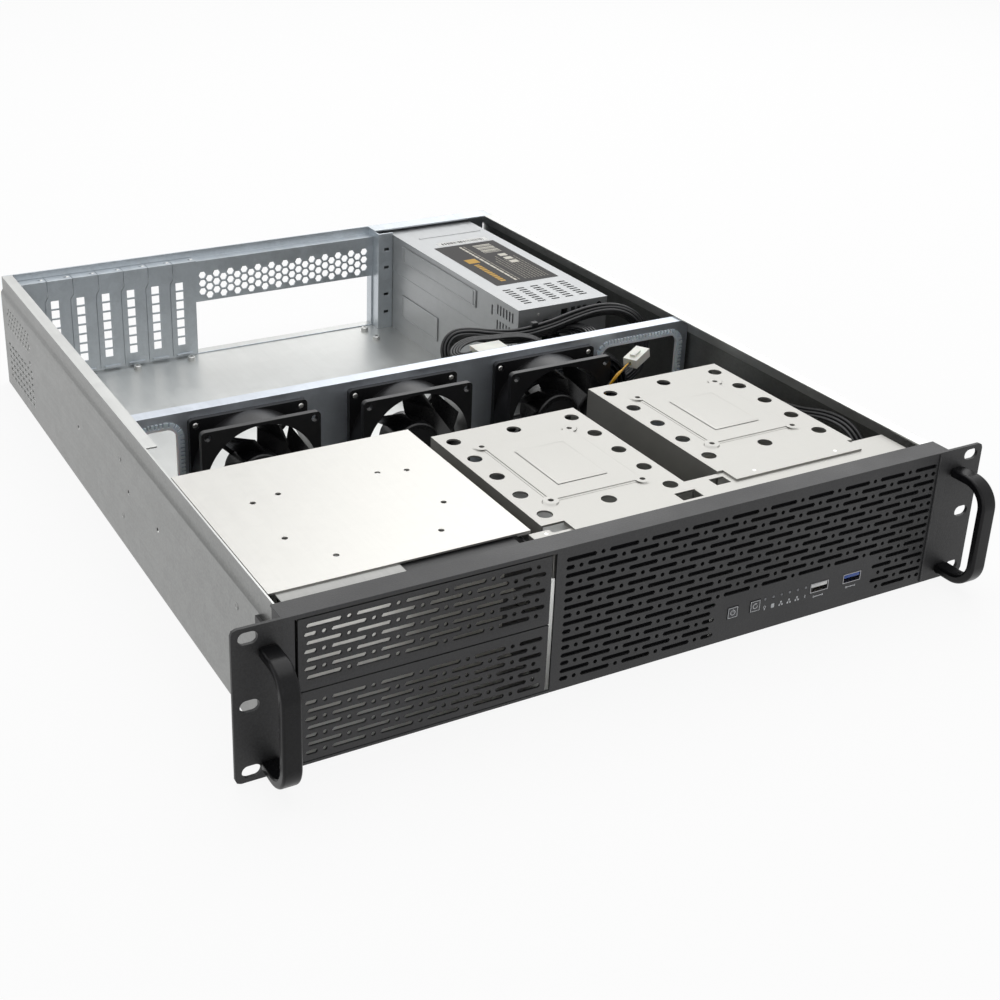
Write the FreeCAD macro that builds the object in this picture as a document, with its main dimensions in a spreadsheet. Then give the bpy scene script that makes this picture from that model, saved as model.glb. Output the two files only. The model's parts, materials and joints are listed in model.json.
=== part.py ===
import FreeCAD, Part

import math
import os

import Sketcher
from FreeCAD import Placement, Rotation, Vector

# Empty two unit rackmount server case, without its lid
# Lengths are millimetres. X runs to the right seen from the front, Y to the
# rear and Z up. Y is counted from the rack plane, the front of the ears, and
# every finished piece is then set back so that the origin lies in the middle
# of the footprint, on the surface that the case stands on.

SIZES = {
    # Steel body
    "case_width": 430.0,
    "case_height": 88.0,
    "case_depth": 550.0,
    "sheet_wall": 1.2,
    "shoulder_height": 76.0,
    "shoulder_inset": 1.6,
    "flange_height": 87.4,
    "lip_width": 8.0,
    "left_lip_start": 209.0,
    "seat_gap": 0.3,
    # Front bezel
    "bezel_return": 13.0,
    "bezel_flange": 14.5,
    "column_width": 6.4,
    "divider_x": -61.2,
    "rail_height": 1.5,
    "window_top": 85.6,
    # Perforation of the bezel and the blanks
    "slot_pitch": 27.0,
    "slot_length": 19.2,
    "slot_width": 2.6,
    "row_pitch": 4.9,
    "row_low": 6.6,
    "field_margin_left": 6.6,
    "field_margin_right": 9.5,
    "control_left": 48.7,
    "control_right": 165.0,
    # Blanks of the two wide bays
    "blank_width": 143.7,
    "blank_height": 41.0,
    "blank_gap": 0.8,
    "blank_side_gap": 1.7,
    "blank_foot_gap": 0.4,
    "blank_return": 15.0,
    "blank_margin": 3.2,
    # Rack ears and handles
    "rack_width": 482.6,
    "ear_thick": 2.0,
    "ear_fold": 30.0,
    "ear_fold_height": 74.0,
    "ear_corner": 3.0,
    "rack_slot_spacing": 465.2,
    "rack_slot_pitch": 38.1,
    "rack_slot_length": 10.3,
    "rack_slot_width": 6.8,
    "handle_offset": 7.6,
    "handle_width": 10.5,
    "handle_thick": 5.5,
    "handle_reach": 29.0,
    "handle_low": 4.8,
    "handle_high": 75.8,
    "handle_bend": 17.0,
    # Buttons, lamps and sockets
    "button_size": 7.2,
    "button_clear": 0.3,
    "button_proud": 0.4,
    "button_travel": 1.0,
    "button_height": 17.7,
    "power_x": 61.5,
    "reset_x": 77.6,
    "lamp_first_x": 85.0,
    "lamp_pitch": 6.0,
    "lamp_height": 20.2,
    "lamp_radius": 0.9,
    "socket_width": 13.6,
    "socket_height": 6.2,
    "socket_wall": 0.5,
    "socket_level": 18.2,
    "socket_slow_x": 125.3,
    "socket_fast_x": 150.2,
    "board_right": 161.2,
    "board_front": 12.0,
    "board_thick": 1.6,
    # Wide bay cage and drive cages
    "cage_top": 84.5,
    "cage_wall": 1.2,
    "bay_x": -132.45,
    "bay_width": 147.9,
    "bay_rear": 172.0,
    "bay_front": 29.5,
    "bay_strip_front": 20.0,
    "bay_strip_right": -137.0,
    "cage_width": 102.0,
    "cage_foot": 7.0,
    "middle_cage_x": 0.0,
    "middle_cage_rear": 156.4,
    "right_cage_x": 127.5,
    "right_cage_rear": 177.5,
    "cage_side_front": 43.4,
    "cage_tongue_front": 30.6,
    "cage_round_hole": 4.5,
    "cage_hole_spacing": 84.0,
    "cage_hole_pitch": 25.6,
    "cage_hole_margin": 12.3,
    "small_drive_x": 61.72,
    "small_drive_y": 76.6,
    "big_drive_x": 95.25,
    "big_drive_y": 44.45,
    "drive_hole": 1.7,
    "small_pattern_margin": 26.5,
    "plateau_height": 0.5,
    "crossbar_rear": 43.1,
    "crossbar_step": 24.0,
    "crossbar_right": 202.0,
    "crossbar_front": 2.5,
    "crossbar_drop": 14.0,
    # Fan wall and fans
    "fan_wall_y": 251.0,
    "fan_wall_top": 86.2,
    "fan_wall_flange": 10.0,
    "fan_size": 80.0,
    "fan_depth": 25.0,
    "fan_pitch": 110.0,
    "fan_middle_x": -22.0,
    "fan_flange": 4.0,
    "fan_bore": 38.0,
    "fan_hole_spacing": 71.5,
    "fan_hole": 2.2,
    "fan_hub": 17.0,
    "fan_blade_tip": 35.8,
    "pass_top": 77.4,
    "pass_low": 14.0,
    "pass_left_x": -178.0,
    "pass_right_x": 136.5,
    "pass_edge": 204.0,
    "pass_corner": 8.0,
    "trim_width": 3.6,
    "trim_wall": 1.0,
    # Rear panel and slot covers
    "panel_y": 539.0,
    "ledge_height": 81.0,
    "panel_right": 100.0,
    "rear_lip": 15.0,
    "io_left": -61.2,
    "io_width": 158.75,
    "io_height": 44.45,
    "io_low": 2.0,
    "cover_pitch": 20.32,
    "cover_count": 7,
    "cover_right": -62.7,
    "cover_gap": 0.4,
    "card_slot_inset": 2.6,
    "card_slot_low": 9.0,
    "card_slot_high": 73.0,
    "cover_jog": 2.6,
    "cover_low": 3.0,
    "cover_vent": 6.3,
    "cover_vent_pitch": 7.85,
    "cover_vent_low": 15.1,
    "hex_pitch": 7.0,
    "hex_size": 5.4,
    "hex_left": -55.0,
    "hex_top": 68.8,
    # Power supply
    "psu_left": 112.5,
    "psu_width": 78.4,
    "psu_front": 323.5,
    "psu_top": 84.0,
    "psu_wall": 1.0,
    "psu_seam": 45.0,
    "psu_fan_size": 60.0,
    "psu_fan_depth": 20.0,
    "psu_fan_bore": 28.0,
    "inlet_width": 28.0,
    "inlet_height": 21.0,
    "inlet_low": 6.0,
    # Board studs
    "stud_height": 3.0,
    "stud_chamfer": 0.5,
    "stud_radius": 3.0,
    "board_corner_x": 87.0,
    "board_corner_y": 530.0,
    # Cables
    "lead_diameter": 6.0,
    "fan_lead_diameter": 2.4,
    "panel_lead_diameter": 4.0,
}

VENT_ROWS = 16
BLANK_ROWS = 7
CONTROL_ROWS = 5
LAMP_COUNT = 6
BLADE_COUNT = 7

doc = FreeCAD.newDocument("rack_case")
sheet = doc.addObject("Spreadsheet::Sheet", "dims")


class Size:
    """A length that holds both its value and the sheet formula behind it."""

    def __init__(self, value, formula):
        self.value = value
        self.formula = formula

    def __float__(self):
        return self.value

    def __add__(self, other):
        return combined(self, "+", other)

    def __radd__(self, other):
        return combined(other, "+", self)

    def __sub__(self, other):
        return combined(self, "-", other)

    def __rsub__(self, other):
        return combined(other, "-", self)

    def __mul__(self, other):
        return combined(self, "*", other)

    def __rmul__(self, other):
        return combined(other, "*", self)

    def __truediv__(self, other):
        return combined(self, "/", other)

    def __neg__(self):
        return combined(0, "-", self)


def as_size(entry):
    if isinstance(entry, Size):
        return entry
    return Size(float(entry), repr(float(entry)))


def combined(first, sign, second):
    first = as_size(first)
    second = as_size(second)
    results = {
        "+": first.value + second.value,
        "-": first.value - second.value,
        "*": first.value * second.value,
        "/": first.value / second.value if second.value else 0.0,
    }
    return Size(results[sign], "(%s %s %s)" % (first.formula, sign, second.formula))


class Dimensions:
    """The sheet's sizes, each under its own name."""


d = Dimensions()
for row, (alias, number) in enumerate(SIZES.items(), start=1):
    sheet.set("A%d" % row, alias)
    sheet.set("B%d" % row, str(number))
    sheet.setAlias("B%d" % row, alias)
    setattr(d, alias, Size(float(number), "dims." + alias))
doc.recompute()

half_width = d.case_width / 2
inner_half = half_width - d.shoulder_inset - d.sheet_wall
floor_top = d.sheet_wall
footprint_middle = (d.case_depth - d.handle_reach) / 2
finished = []


# Building blocks


def bind(item, prop, size):
    item.setExpression(prop, as_size(size).formula)


def box(name, x, y, z):
    """A block between a low and a high value on each axis."""
    block = doc.addObject("Part::Box", name)
    for prop, axis, (low, high) in (("Length", "x", x), ("Width", "y", y), ("Height", "z", z)):
        bind(block, prop, as_size(high) - low)
        bind(block, "Placement.Base." + axis, low)
    return block


def rod(name, axis, start, radius, length):
    """A round bar along an axis, from the middle of its first end."""
    bar = doc.addObject("Part::Cylinder", name)
    directions = {"X": Vector(1, 0, 0), "Y": Vector(0, 1, 0), "Z": Vector(0, 0, 1)}
    bar.Placement = Placement(Vector(), Rotation(Vector(0, 0, 1), directions[axis]))
    bind(bar, "Radius", radius)
    bind(bar, "Height", length)
    for letter, size in zip("xyz", start):
        bind(bar, "Placement.Base." + letter, size)
    return bar


def fuse(name, pieces):
    whole = doc.addObject("Part::MultiFuse", name)
    whole.Shapes = pieces
    return whole


def cut(name, base, tool):
    rest = doc.addObject("Part::Cut", name)
    rest.Base = base
    rest.Tool = tool
    return rest


def shaped(name, solids):
    """A feature that holds solids worked out from the sheet."""
    feature = doc.addObject("Part::Feature", name)
    feature.Shape = solids[0] if len(solids) == 1 else Part.makeCompound(solids)
    return feature


def outline(points, plane, level):
    """A closed face through flat points on a plane parallel to two axes."""
    places = {
        "XZ": lambda u, v: Vector(u, level, v),
        "YZ": lambda u, v: Vector(level, u, v),
        "XY": lambda u, v: Vector(u, v, level),
    }
    corners = [places[plane](float(u), float(v)) for u, v in points]
    return Part.Face(Part.makePolygon(corners + corners[:1]))


def prism(points, plane, low, high):
    """A solid of constant section between two levels of the third axis."""
    low = float(low)
    high = float(high)
    ways = {"XZ": Vector(0, 1, 0), "YZ": Vector(1, 0, 0), "XY": Vector(0, 0, 1)}
    return outline(points, plane, low).extrude(ways[plane] * (high - low))


def block(x, y, z):
    low = Vector(float(x[0]), float(y[0]), float(z[0]))
    sides = [float(high) - float(base) for base, high in (x, y, z)]
    return Part.makeBox(sides[0], sides[1], sides[2], low)


def disc(axis, centre, radius, length):
    directions = {"X": Vector(1, 0, 0), "Y": Vector(0, 1, 0), "Z": Vector(0, 0, 1)}
    start = Vector(float(centre[0]), float(centre[1]), float(centre[2]))
    return Part.makeCylinder(float(radius), float(length), start, directions[axis])


def polygon(middle, radius, sides, turn):
    """Corners of a regular outline about a middle point."""
    corners = []
    for number in range(sides):
        angle = turn + 2 * math.pi * number / sides
        corners.append((middle[0] + radius * math.cos(angle), middle[1] + radius * math.sin(angle)))
    return corners


def long_slot(left, right, level, width):
    """A slot outline whose ends come to a blunt point."""
    half = width / 2
    nose = half * 0.75
    return [
        (left, level),
        (left + nose, level - half),
        (right - nose, level - half),
        (right, level),
        (right - nose, level + half),
        (left + nose, level + half),
    ]


def rounded_outline(x, z, radius, level):
    """A rectangle with round corners in a plane across Y."""
    x0, x1 = float(x[0]), float(x[1])
    z0, z1 = float(z[0]), float(z[1])
    r = float(radius)
    s = r * (1 - math.sqrt(0.5))
    bends = [
        ((x1 - r, z0), (x1 - s, z0 + s), (x1, z0 + r)),
        ((x1, z1 - r), (x1 - s, z1 - s), (x1 - r, z1)),
        ((x0 + r, z1), (x0 + s, z1 - s), (x0, z1 - r)),
        ((x0, z0 + r), (x0 + s, z0 + s), (x0 + r, z0)),
    ]
    edges = []
    for number, bend in enumerate(bends):
        start, through, end = [Vector(u, level, v) for u, v in bend]
        following = bends[(number + 1) % 4][0]
        edges.append(Part.Arc(start, through, end).toShape())
        edges.append(Part.LineSegment(end, Vector(following[0], level, following[1])).toShape())
    return Part.Wire(edges)


def rounded_slab(x, z, radius, low, high):
    low = float(low)
    face = Part.Face(rounded_outline(x, z, radius, low))
    return face.extrude(Vector(0, float(high) - low, 0))


def origin_plane(body, role):
    for feature in body.Origin.OriginFeatures:
        if feature.Role == role:
            return feature
    raise RuntimeError("no plane named " + role)


def bound_sketch(body, role, corners, level):
    """A closed sketch whose corners are bound to the sheet."""
    sketch = body.newObject("Sketcher::SketchObject", body.Name + "_outline")
    sketch.AttachmentSupport = (origin_plane(body, role), [""])
    sketch.MapMode = "FlatFace"
    sizes = [(as_size(u), as_size(v)) for u, v in corners]
    count = len(sizes)
    for number in range(count):
        u, v = sizes[number]
        p, q = sizes[(number + 1) % count]
        sketch.addGeometry(Part.LineSegment(Vector(u.value, v.value, 0), Vector(p.value, q.value, 0)), False)
    for number in range(count):
        sketch.addConstraint(Sketcher.Constraint("Coincident", number, 2, (number + 1) % count, 1))
    for number, pair in enumerate(sizes):
        for kind, axis, size in (("DistanceX", -2, pair[0]), ("DistanceY", -1, pair[1])):
            if size.formula == "0.0":
                sketch.addConstraint(Sketcher.Constraint("PointOnObject", number, 1, axis))
                continue
            place = sketch.addConstraint(Sketcher.Constraint(kind, -1, 1, number, 1, size.value))
            sketch.setExpression("Constraints[%d]" % place, size.formula)
    sign = -1 if role == "XZ_Plane" else 1
    bind(sketch, "AttachmentOffset.Base.z", sign * as_size(level))
    return sketch


def padded(body, role, corners, low, high):
    """A pad between two levels of the axis that the plane lies across."""
    sketch = bound_sketch(body, role, corners, low)
    pad = body.newObject("PartDesign::Pad", body.Name + "_pad")
    pad.Profile = sketch
    bind(pad, "Length", as_size(high) - low)
    pad.Reversed = role == "XZ_Plane"
    sketch.Visibility = False
    return pad


def new_body(name):
    return doc.addObject("PartDesign::Body", name)


def finish(piece, label):
    """Names a finished piece and sets it over the middle of the footprint."""
    piece.Label = label
    bind(piece, "Placement.Base.y", -footprint_middle)
    finished.append(piece)
    return piece


# Folded steel tray: floor, side walls with their shoulder and top lips


def make_chassis_tray():
    wall = d.sheet_wall
    inset = d.shoulder_inset
    low = d.shoulder_height - wall
    high = d.shoulder_height + wall
    top = d.flange_height
    right = [
        (half_width, 0),
        (half_width, low),
        (half_width - inset, high),
        (half_width - inset, top),
        (half_width - inset - wall, top),
        (half_width - inset - wall, high),
        (half_width - wall, low),
        (half_width - wall, wall),
    ]
    left = [(-u, v) for u, v in reversed(right)]
    side_start = d.bezel_flange
    body = new_body("tray")
    padded(body, "XZ_Plane", right + left, side_start, d.case_depth)
    floor_half = half_width - 2 * wall
    front = [(-floor_half, 0), (floor_half, 0), (floor_half, wall), (-floor_half, wall)]
    padded(body, "XZ_Plane", front, wall, side_start)
    lip_outer = half_width - inset
    lip_inner = lip_outer - d.lip_width
    lip = [(lip_inner, top - wall), (lip_outer, top - wall), (lip_outer, top), (lip_inner, top)]
    padded(body, "XZ_Plane", lip, side_start, d.case_depth - d.rear_lip)
    left_lip = [(-u, v) for u, v in reversed(lip)]
    padded(body, "XZ_Plane", left_lip, d.left_lip_start, d.case_depth - wall)
    return finish(cut("tray_cut", body, shaped("tray_holes", tray_holes())), "chassis_tray")


def tray_holes():
    """Vents and rivet holes of the left wall, and drain holes of the floor."""
    outside = -float(half_width) - 1
    inside = outside + float(d.sheet_wall) + 2
    rear = float(d.case_depth)
    holes = []
    for row in range(4):
        for column in range(9):
            middle = (rear - 16.5 - 7.2 * column - 3.6 * (row % 2), 52.6 + 4.4 * row)
            holes.append(prism(polygon(middle, 2.0, 6, 0), "YZ", outside, inside))
    for row in range(6):
        for column in range(8):
            y = rear - 16.5 - 9.0 * column
            z = 11.2 + 5.2 * row
            corners = [(y - 3, z - 1.2), (y + 3, z - 1.2), (y + 3, z + 1.2), (y - 3, z + 1.2)]
            holes.append(prism(corners, "YZ", outside, inside))
    for y, z in ((348.4, 43.5), (240.9, 44.0), (186.5, 44.5), (rear - 76.5, 43.7)):
        holes.append(prism(polygon((y, z), 1.8, 8, 0), "YZ", outside, inside))
    return holes


# Front bezel with its perforated face, and the blanks of the wide bays


def row_level(row):
    """Height of a perforation row, counted from the lowest."""
    return float(d.row_low) + float(d.row_pitch) * row


def slot_row(first, field, level, low, high):
    """The slots of one row, clipped to a field."""
    pitch = float(d.slot_pitch)
    length = float(d.slot_length)
    start = first
    while start > field[0]:
        start -= pitch
    slots = []
    while start < field[1]:
        left = max(start, field[0])
        right = min(start + length, field[1])
        if right - left > 1.2 * float(d.slot_width):
            slots.append(prism(long_slot(left, right, level, float(d.slot_width)), "XZ", low, high))
        start += pitch
    return slots


def bezel_slots(low, high):
    left = float(d.divider_x + d.field_margin_left)
    right = float(half_width - d.field_margin_right)
    slots = []
    for row in range(VENT_ROWS):
        shift = 0.0 if row % 2 else float(d.slot_pitch) / 2
        fields = [(left, right)]
        if row < CONTROL_ROWS:
            fields = [(left, float(d.control_left)), (float(d.control_right), right)]
        for field in fields:
            slots += slot_row(left + shift, field, row_level(row), low, high)
    return slots


def make_front_bezel():
    wall = d.sheet_wall
    height = d.case_height
    face = box("bezel_face", (-half_width, half_width), (0, wall), (0, height))
    flange = box("bezel_top", (-half_width, half_width), (0, d.bezel_flange), (height - wall, height))
    returns = []
    for side, name in ((-1, "bezel_left"), (1, "bezel_right")):
        outer = side * half_width
        inner = side * (half_width - wall)
        span = (outer, inner) if side < 0 else (inner, outer)
        returns.append(box(name, span, (0, d.bezel_return), (0, height)))
    shelf_x = (d.bay_strip_right + 0.5, d.bay_x + d.bay_width / 2 - 10.5)
    shelf_low = d.cage_top - 3.5
    web = box("bezel_web", shelf_x, (d.bezel_flange - wall, d.bezel_flange), (shelf_low, height - wall))
    shelf = box("bezel_shelf", shelf_x, (d.bezel_flange - wall, d.bay_front + 3.5), (shelf_low, shelf_low + wall))
    folded = fuse("bezel_sheet", [face, flange, web, shelf] + returns)
    low = -1.0
    high = float(wall) + 1.0
    holes = bezel_slots(low, high)
    window = (float(-half_width + d.column_width), float(d.divider_x + 0.8))
    holes.append(block(window, (low, high), (float(d.rail_height), float(d.window_top))))
    button = float(d.button_size / 2 + d.button_clear)
    level = float(d.button_height)
    for x in (float(d.power_x), float(d.reset_x)):
        holes.append(block((x - button, x + button), (low, high), (level - button, level + button)))
    for number in range(LAMP_COUNT):
        x = float(d.lamp_first_x + d.lamp_pitch * number)
        reach = float(d.lamp_radius + d.seat_gap / 2)
        holes.append(prism(polygon((x, float(d.lamp_height)), reach * 1.08, 8, 0), "XZ", low, high))
    wide = float(d.socket_width / 2 + d.button_clear)
    tall = float(d.socket_height / 2 + d.button_clear)
    level = float(d.socket_level)
    for x in (float(d.socket_slow_x), float(d.socket_fast_x)):
        holes.append(block((x - wide, x + wide), (low, high), (level - tall, level + tall)))
    return finish(cut("bezel_cut", folded, shaped("bezel_holes", holes)), "front_bezel")


def make_blanks():
    left = -half_width + d.column_width + d.blank_side_gap
    right = left + d.blank_width
    wall = d.sheet_wall
    first = float(left + d.blank_margin + 1.2)
    field = (float(left + d.blank_margin), float(right - d.blank_margin))
    lower = d.rail_height + d.blank_foot_gap
    for number, name in enumerate(("bay_blank_lower", "bay_blank_upper")):
        base = lower + (d.blank_height + d.blank_gap) * number
        top = base + d.blank_height
        face = box(name + "_face", (left, right), (0.2, wall + 0.2), (base, top))
        tabs = []
        tab_left = d.bay_x - d.bay_width / 2 + d.cage_wall + d.seat_gap
        for tag, span in (("_tab_left", (tab_left, tab_left + wall)), ("_tab_right", (right - wall, right))):
            depth = (wall + 0.2, d.blank_return + d.bay_front)
            tabs.append(box(name + tag, span, depth, (base + 4, top - 4)))
        row_first = 0 if number == 0 else VENT_ROWS - BLANK_ROWS
        holes = []
        for row in range(row_first, row_first + BLANK_ROWS):
            shift = 0.0 if row % 2 else float(d.slot_pitch) / 2
            holes += slot_row(first + shift, field, row_level(row), -1.0, float(wall) + 1.0)
        plate = cut(name + "_plate", face, shaped(name + "_slots", holes))
        finish(fuse(name + "_whole", [plate] + tabs), name)


# Rack ears, bow handles and their screws


def make_ears_and_handles():
    heads = []
    for side, tag in ((-1, "left"), (1, "right")):
        inner = float(half_width)
        outer = float(d.rack_width) / 2
        corner = float(d.ear_corner)
        top = float(d.case_height)
        bevel = corner * (1 - math.sqrt(0.5))
        corners = [
            (inner, 0.0),
            (outer - corner, 0.0),
            (outer - bevel, bevel),
            (outer, corner),
            (outer, top - corner),
            (outer - bevel, top - bevel),
            (outer - corner, top),
            (inner, top),
        ]
        plate = prism([(side * u, v) for u, v in corners], "XZ", 0.0, d.ear_thick)
        plate_feature = shaped("ear_plate_" + tag, [plate])
        near = side * half_width
        far = side * (half_width + d.ear_thick)
        span = (far, near) if side < 0 else (near, far)
        fold = box("ear_fold_" + tag, span, (d.ear_thick, d.ear_fold), (2.0, d.ear_fold_height))
        holes = [rack_slot(side, number) for number in (-1, 0, 1)]
        screw_levels = [d.handle_low + d.handle_thick / 2, d.handle_high - d.handle_thick / 2]
        handle_x = side * (half_width + d.handle_offset)
        for level in screw_levels:
            holes.append(disc("Y", (handle_x, -1, level), 2.1, d.ear_thick + 2))
        sheet_piece = fuse("ear_sheet_" + tag, [plate_feature, fold])
        ear = cut("ear_cut_" + tag, sheet_piece, shaped("ear_holes_" + tag, holes))
        finish(ear, "rack_ear_" + tag)
        make_handle(tag, handle_x)
        for number, level in enumerate(screw_levels):
            name = "handle_screw_%s_%d" % (tag, number)
            head = rod(name + "_head", "Y", (handle_x, d.ear_thick, level), 3.4, 2.2)
            shank = rod(name + "_shank", "Y", (handle_x, 0, level), 1.9, d.ear_thick)
            heads.append(fuse(name, [head, shank]))
    screws = doc.addObject("Part::Compound", "handle_screw_set")
    screws.Links = heads
    finish(screws, "handle_screws")


def rack_slot(side, number):
    """One obround slot for a rack screw."""
    x = side * float(d.rack_slot_spacing) / 2
    z = float(d.case_height) / 2 + number * float(d.rack_slot_pitch)
    reach = float(d.rack_slot_length) / 2
    half = float(d.rack_slot_width) / 2
    return rounded_slab((x - reach, x + reach), (z - half, z + half), half * 0.999, -1.0, d.ear_thick + 1)


def make_handle(tag, middle):
    """A flat bar bent to a bow, with its feet on the ear."""
    thick = d.handle_thick
    reach = d.handle_reach
    low = d.handle_low
    high = d.handle_high
    body = new_body("handle_" + tag)
    corners = [
        (0, low),
        (0, low + thick),
        (-reach + thick, low + thick),
        (-reach + thick, high - thick),
        (0, high - thick),
        (0, high),
        (-reach, high),
        (-reach, low),
    ]
    half = d.handle_width / 2
    padded(body, "YZ_Plane", corners, middle - half, middle + half)
    doc.recompute()
    for name, depth, radius in (
        ("outer", -float(reach), d.handle_bend),
        ("inner", -float(reach) + float(thick), d.handle_bend - thick),
    ):
        bends = []
        for number, edge in enumerate(body.Shape.Edges, start=1):
            box_of = edge.BoundBox
            along = box_of.YLength < 1e-6 and box_of.ZLength < 1e-6
            if along and abs(box_of.YMin - depth) < 1e-6:
                bends.append("Edge%d" % number)
        bent = body.Tip
        fillet = body.newObject("PartDesign::Fillet", "handle_%s_%s" % (tag, name))
        fillet.Base = (bent, bends)
        bind(fillet, "Radius", radius)
        body.Tip = fillet
        doc.recompute()
    finish(body, "handle_" + tag)


# Control board with its buttons, lamps and sockets


def make_controls():
    board_low = 8.0
    board_high = 27.0
    front = d.board_front
    board_left = d.power_x - 9
    board = box("board_plate", (board_left, d.board_right), (front, front + d.board_thick), (board_low, board_high))
    switches = []
    for number, (x, z) in enumerate(((board_left + 2, 24.5), (d.power_x + 8, 10.5), (d.board_right - 2, 24.5), (d.board_right - 2, 10.5))):
        switches.append(rod("board_post_%d" % number, "Y", (x, d.sheet_wall, z), 1.7, front - d.sheet_wall))
    for name, x in (("power", d.power_x), ("reset", d.reset_x)):
        cap = box(name + "_switch", (x - 3, x + 3), (front - 3.5, front), (d.button_height - 3, d.button_height + 3))
        switches.append(cap)
        half = d.button_size / 2
        level = d.button_height
        shown = d.sheet_wall + d.seat_gap
        face = box(name + "_face", (x - half, x + half), (-d.button_proud, shown), (level - half, level + half))
        rim = half + 0.9
        flange = box(name + "_flange", (x - rim, x + rim), (shown, shown + 1), (level - rim, level + rim))
        stem_end = front - 3.5 - d.button_travel - d.seat_gap
        stem = rod(name + "_stem", "Y", (x, shown + 1, level), 1.8, stem_end - shown - 1)
        finish(fuse(name + "_moulding", [face, flange, stem]), name + "_button")
    finish(fuse("board_whole", [board] + switches), "control_board")
    lamps = []
    for number in range(LAMP_COUNT):
        x = d.lamp_first_x + d.lamp_pitch * number
        lamps.append(rod("lamp_%d" % number, "Y", (x, -0.1, d.lamp_height), d.lamp_radius, front + 0.1))
    lamp_set = doc.addObject("Part::Compound", "lamp_set")
    lamp_set.Links = lamps
    finish(lamp_set, "lamp_lenses")
    tongues = []
    for name, x in (("socket_slow", d.socket_slow_x), ("socket_fast", d.socket_fast_x)):
        wide = d.socket_width / 2
        tall = d.socket_height / 2
        rim = d.socket_wall
        level = d.socket_level
        outer = box(name + "_outer", (x - wide, x + wide), (-0.2, front), (level - tall, level + tall))
        hollow = ((x - wide + rim, x + wide - rim), (-1.2, front - 1), (level - tall + rim, level + tall - rim))
        inner = box(name + "_inner", *hollow)
        finish(cut(name + "_shell", outer, inner), name)
        tongue = ((x - wide + 1.2, x + wide - 1.2), (0.6, front - 1), (level + 0.3, level + 2.1))
        tongues.append(box(name + "_tongue", *tongue))
    tongue_set = doc.addObject("Part::Compound", "tongue_set")
    tongue_set.Links = tongues
    finish(tongue_set, "socket_tongues")


# Cage of the wide bays, its cover, and the two drive cages


def drive_pattern(x, y, spacing_x, spacing_y):
    """The four fixing points of a drive about a middle point."""
    points = []
    for across in (-1, 1):
        for along in (-1, 1):
            points.append((x + across * spacing_x / 2, y + along * spacing_y / 2))
    return points


def make_bay_cage():
    wall = d.cage_wall
    half = d.bay_width / 2
    top = d.cage_top - wall
    shelf = 8.0
    left = d.bay_x - half
    right = d.bay_x + half
    corners = [
        (left, floor_top),
        (right, floor_top),
        (right, top),
        (right - shelf, top),
        (right - shelf, top - wall),
        (right - wall, top - wall),
        (right - wall, floor_top + wall),
        (left + wall, floor_top + wall),
        (left + wall, top - wall),
        (left + shelf, top - wall),
        (left + shelf, top),
        (left, top),
    ]
    body = new_body("bay_body")
    padded(body, "XZ_Plane", corners, d.bay_front, d.bay_rear)
    slots = []
    for level in (float(top) * 0.28, float(top) * 0.74):
        for y in (52.0, 92.0, 132.0):
            across = (float(left) - 1, float(right) + 1)
            slots.append(block(across, (y - 5, y + 5), (level - 2, level + 2)))
    strip = box("bay_strip", (left, d.bay_strip_right), (d.bay_strip_front, d.bay_front + 6), (top - wall, top))
    pierced = cut("bay_cut", body, shaped("bay_slots", slots))
    finish(fuse("bay_sheet", [pierced, strip]), "bay_cage")
    plate = box("bay_plate", (left, right), (d.bay_front, d.bay_rear), (top, top + wall))
    x = float(d.bay_x)
    low_row = float(d.bay_rear) - 83.5
    holes = []
    small = drive_pattern(x, low_row, float(d.small_drive_x), float(d.small_drive_y))
    big = drive_pattern(x, float(d.bay_rear) - 71.5, float(d.big_drive_x), float(d.big_drive_y))
    for u, v in small + big:
        holes.append(disc("Z", (u, v, top - 1), d.drive_hole, 4))
    finish(cut("bay_cover_cut", plate, shaped("bay_cover_holes", holes)), "bay_cage_cover")


def make_drive_cage(label, middle, rear, tongue_half, tongue_front, side_front):
    """A hat section cage: top plate, two side walls and two feet."""
    wall = d.cage_wall
    half = d.cage_width / 2
    top = d.cage_top
    foot = d.cage_foot
    right = [
        (half, top),
        (half, floor_top + wall),
        (half + foot, floor_top + wall),
        (half + foot, floor_top),
        (half - wall, floor_top),
        (half - wall, top - wall),
    ]
    left = [(-u, v) for u, v in reversed(right)]
    section = [(middle + u, v) for u, v in right + left]
    body = new_body(label + "_body")
    padded(body, "XZ_Plane", section, side_front, rear)
    tongue = [
        (middle - tongue_half, top - wall),
        (middle + tongue_half, top - wall),
        (middle + tongue_half, top),
        (middle - tongue_half, top),
    ]
    padded(body, "XZ_Plane", tongue, tongue_front, side_front)
    x = float(middle)
    y = float(rear)
    spread = float(d.cage_hole_spacing) / 2
    holes = []
    for row in range(5):
        level = y - float(d.cage_hole_margin) - float(d.cage_hole_pitch) * row
        columns = (-1, 0, 1) if row in (0, 4) else (-1, 1)
        for column in columns:
            place = (x + column * spread, level, float(top) - 3)
            holes.append(disc("Z", place, d.cage_round_hole, 6))
    plate_y = y - float(d.small_pattern_margin) - float(d.small_drive_y) / 2
    points = drive_pattern(x, plate_y, float(d.small_drive_x), float(d.small_drive_y))
    for u, v in points:
        holes.append(disc("Z", (u, v, float(top) - 3), d.drive_hole, 6))
    for level in (24.0, 62.0):
        for place in (y - 30.0, y - 62.0, y - 90.0):
            across = (x - float(half) - 1, x + float(half) + 1)
            holes.append(block(across, (place - 4, place + 4), (level - 1.8, level + 1.8)))
    pressed = cage_pressing(x, plate_y, points)
    whole = fuse(label + "_sheet", [body, shaped(label + "_pressing", [pressed])])
    return finish(cut(label + "_cut", whole, shaped(label + "_holes", holes)), label)


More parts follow.
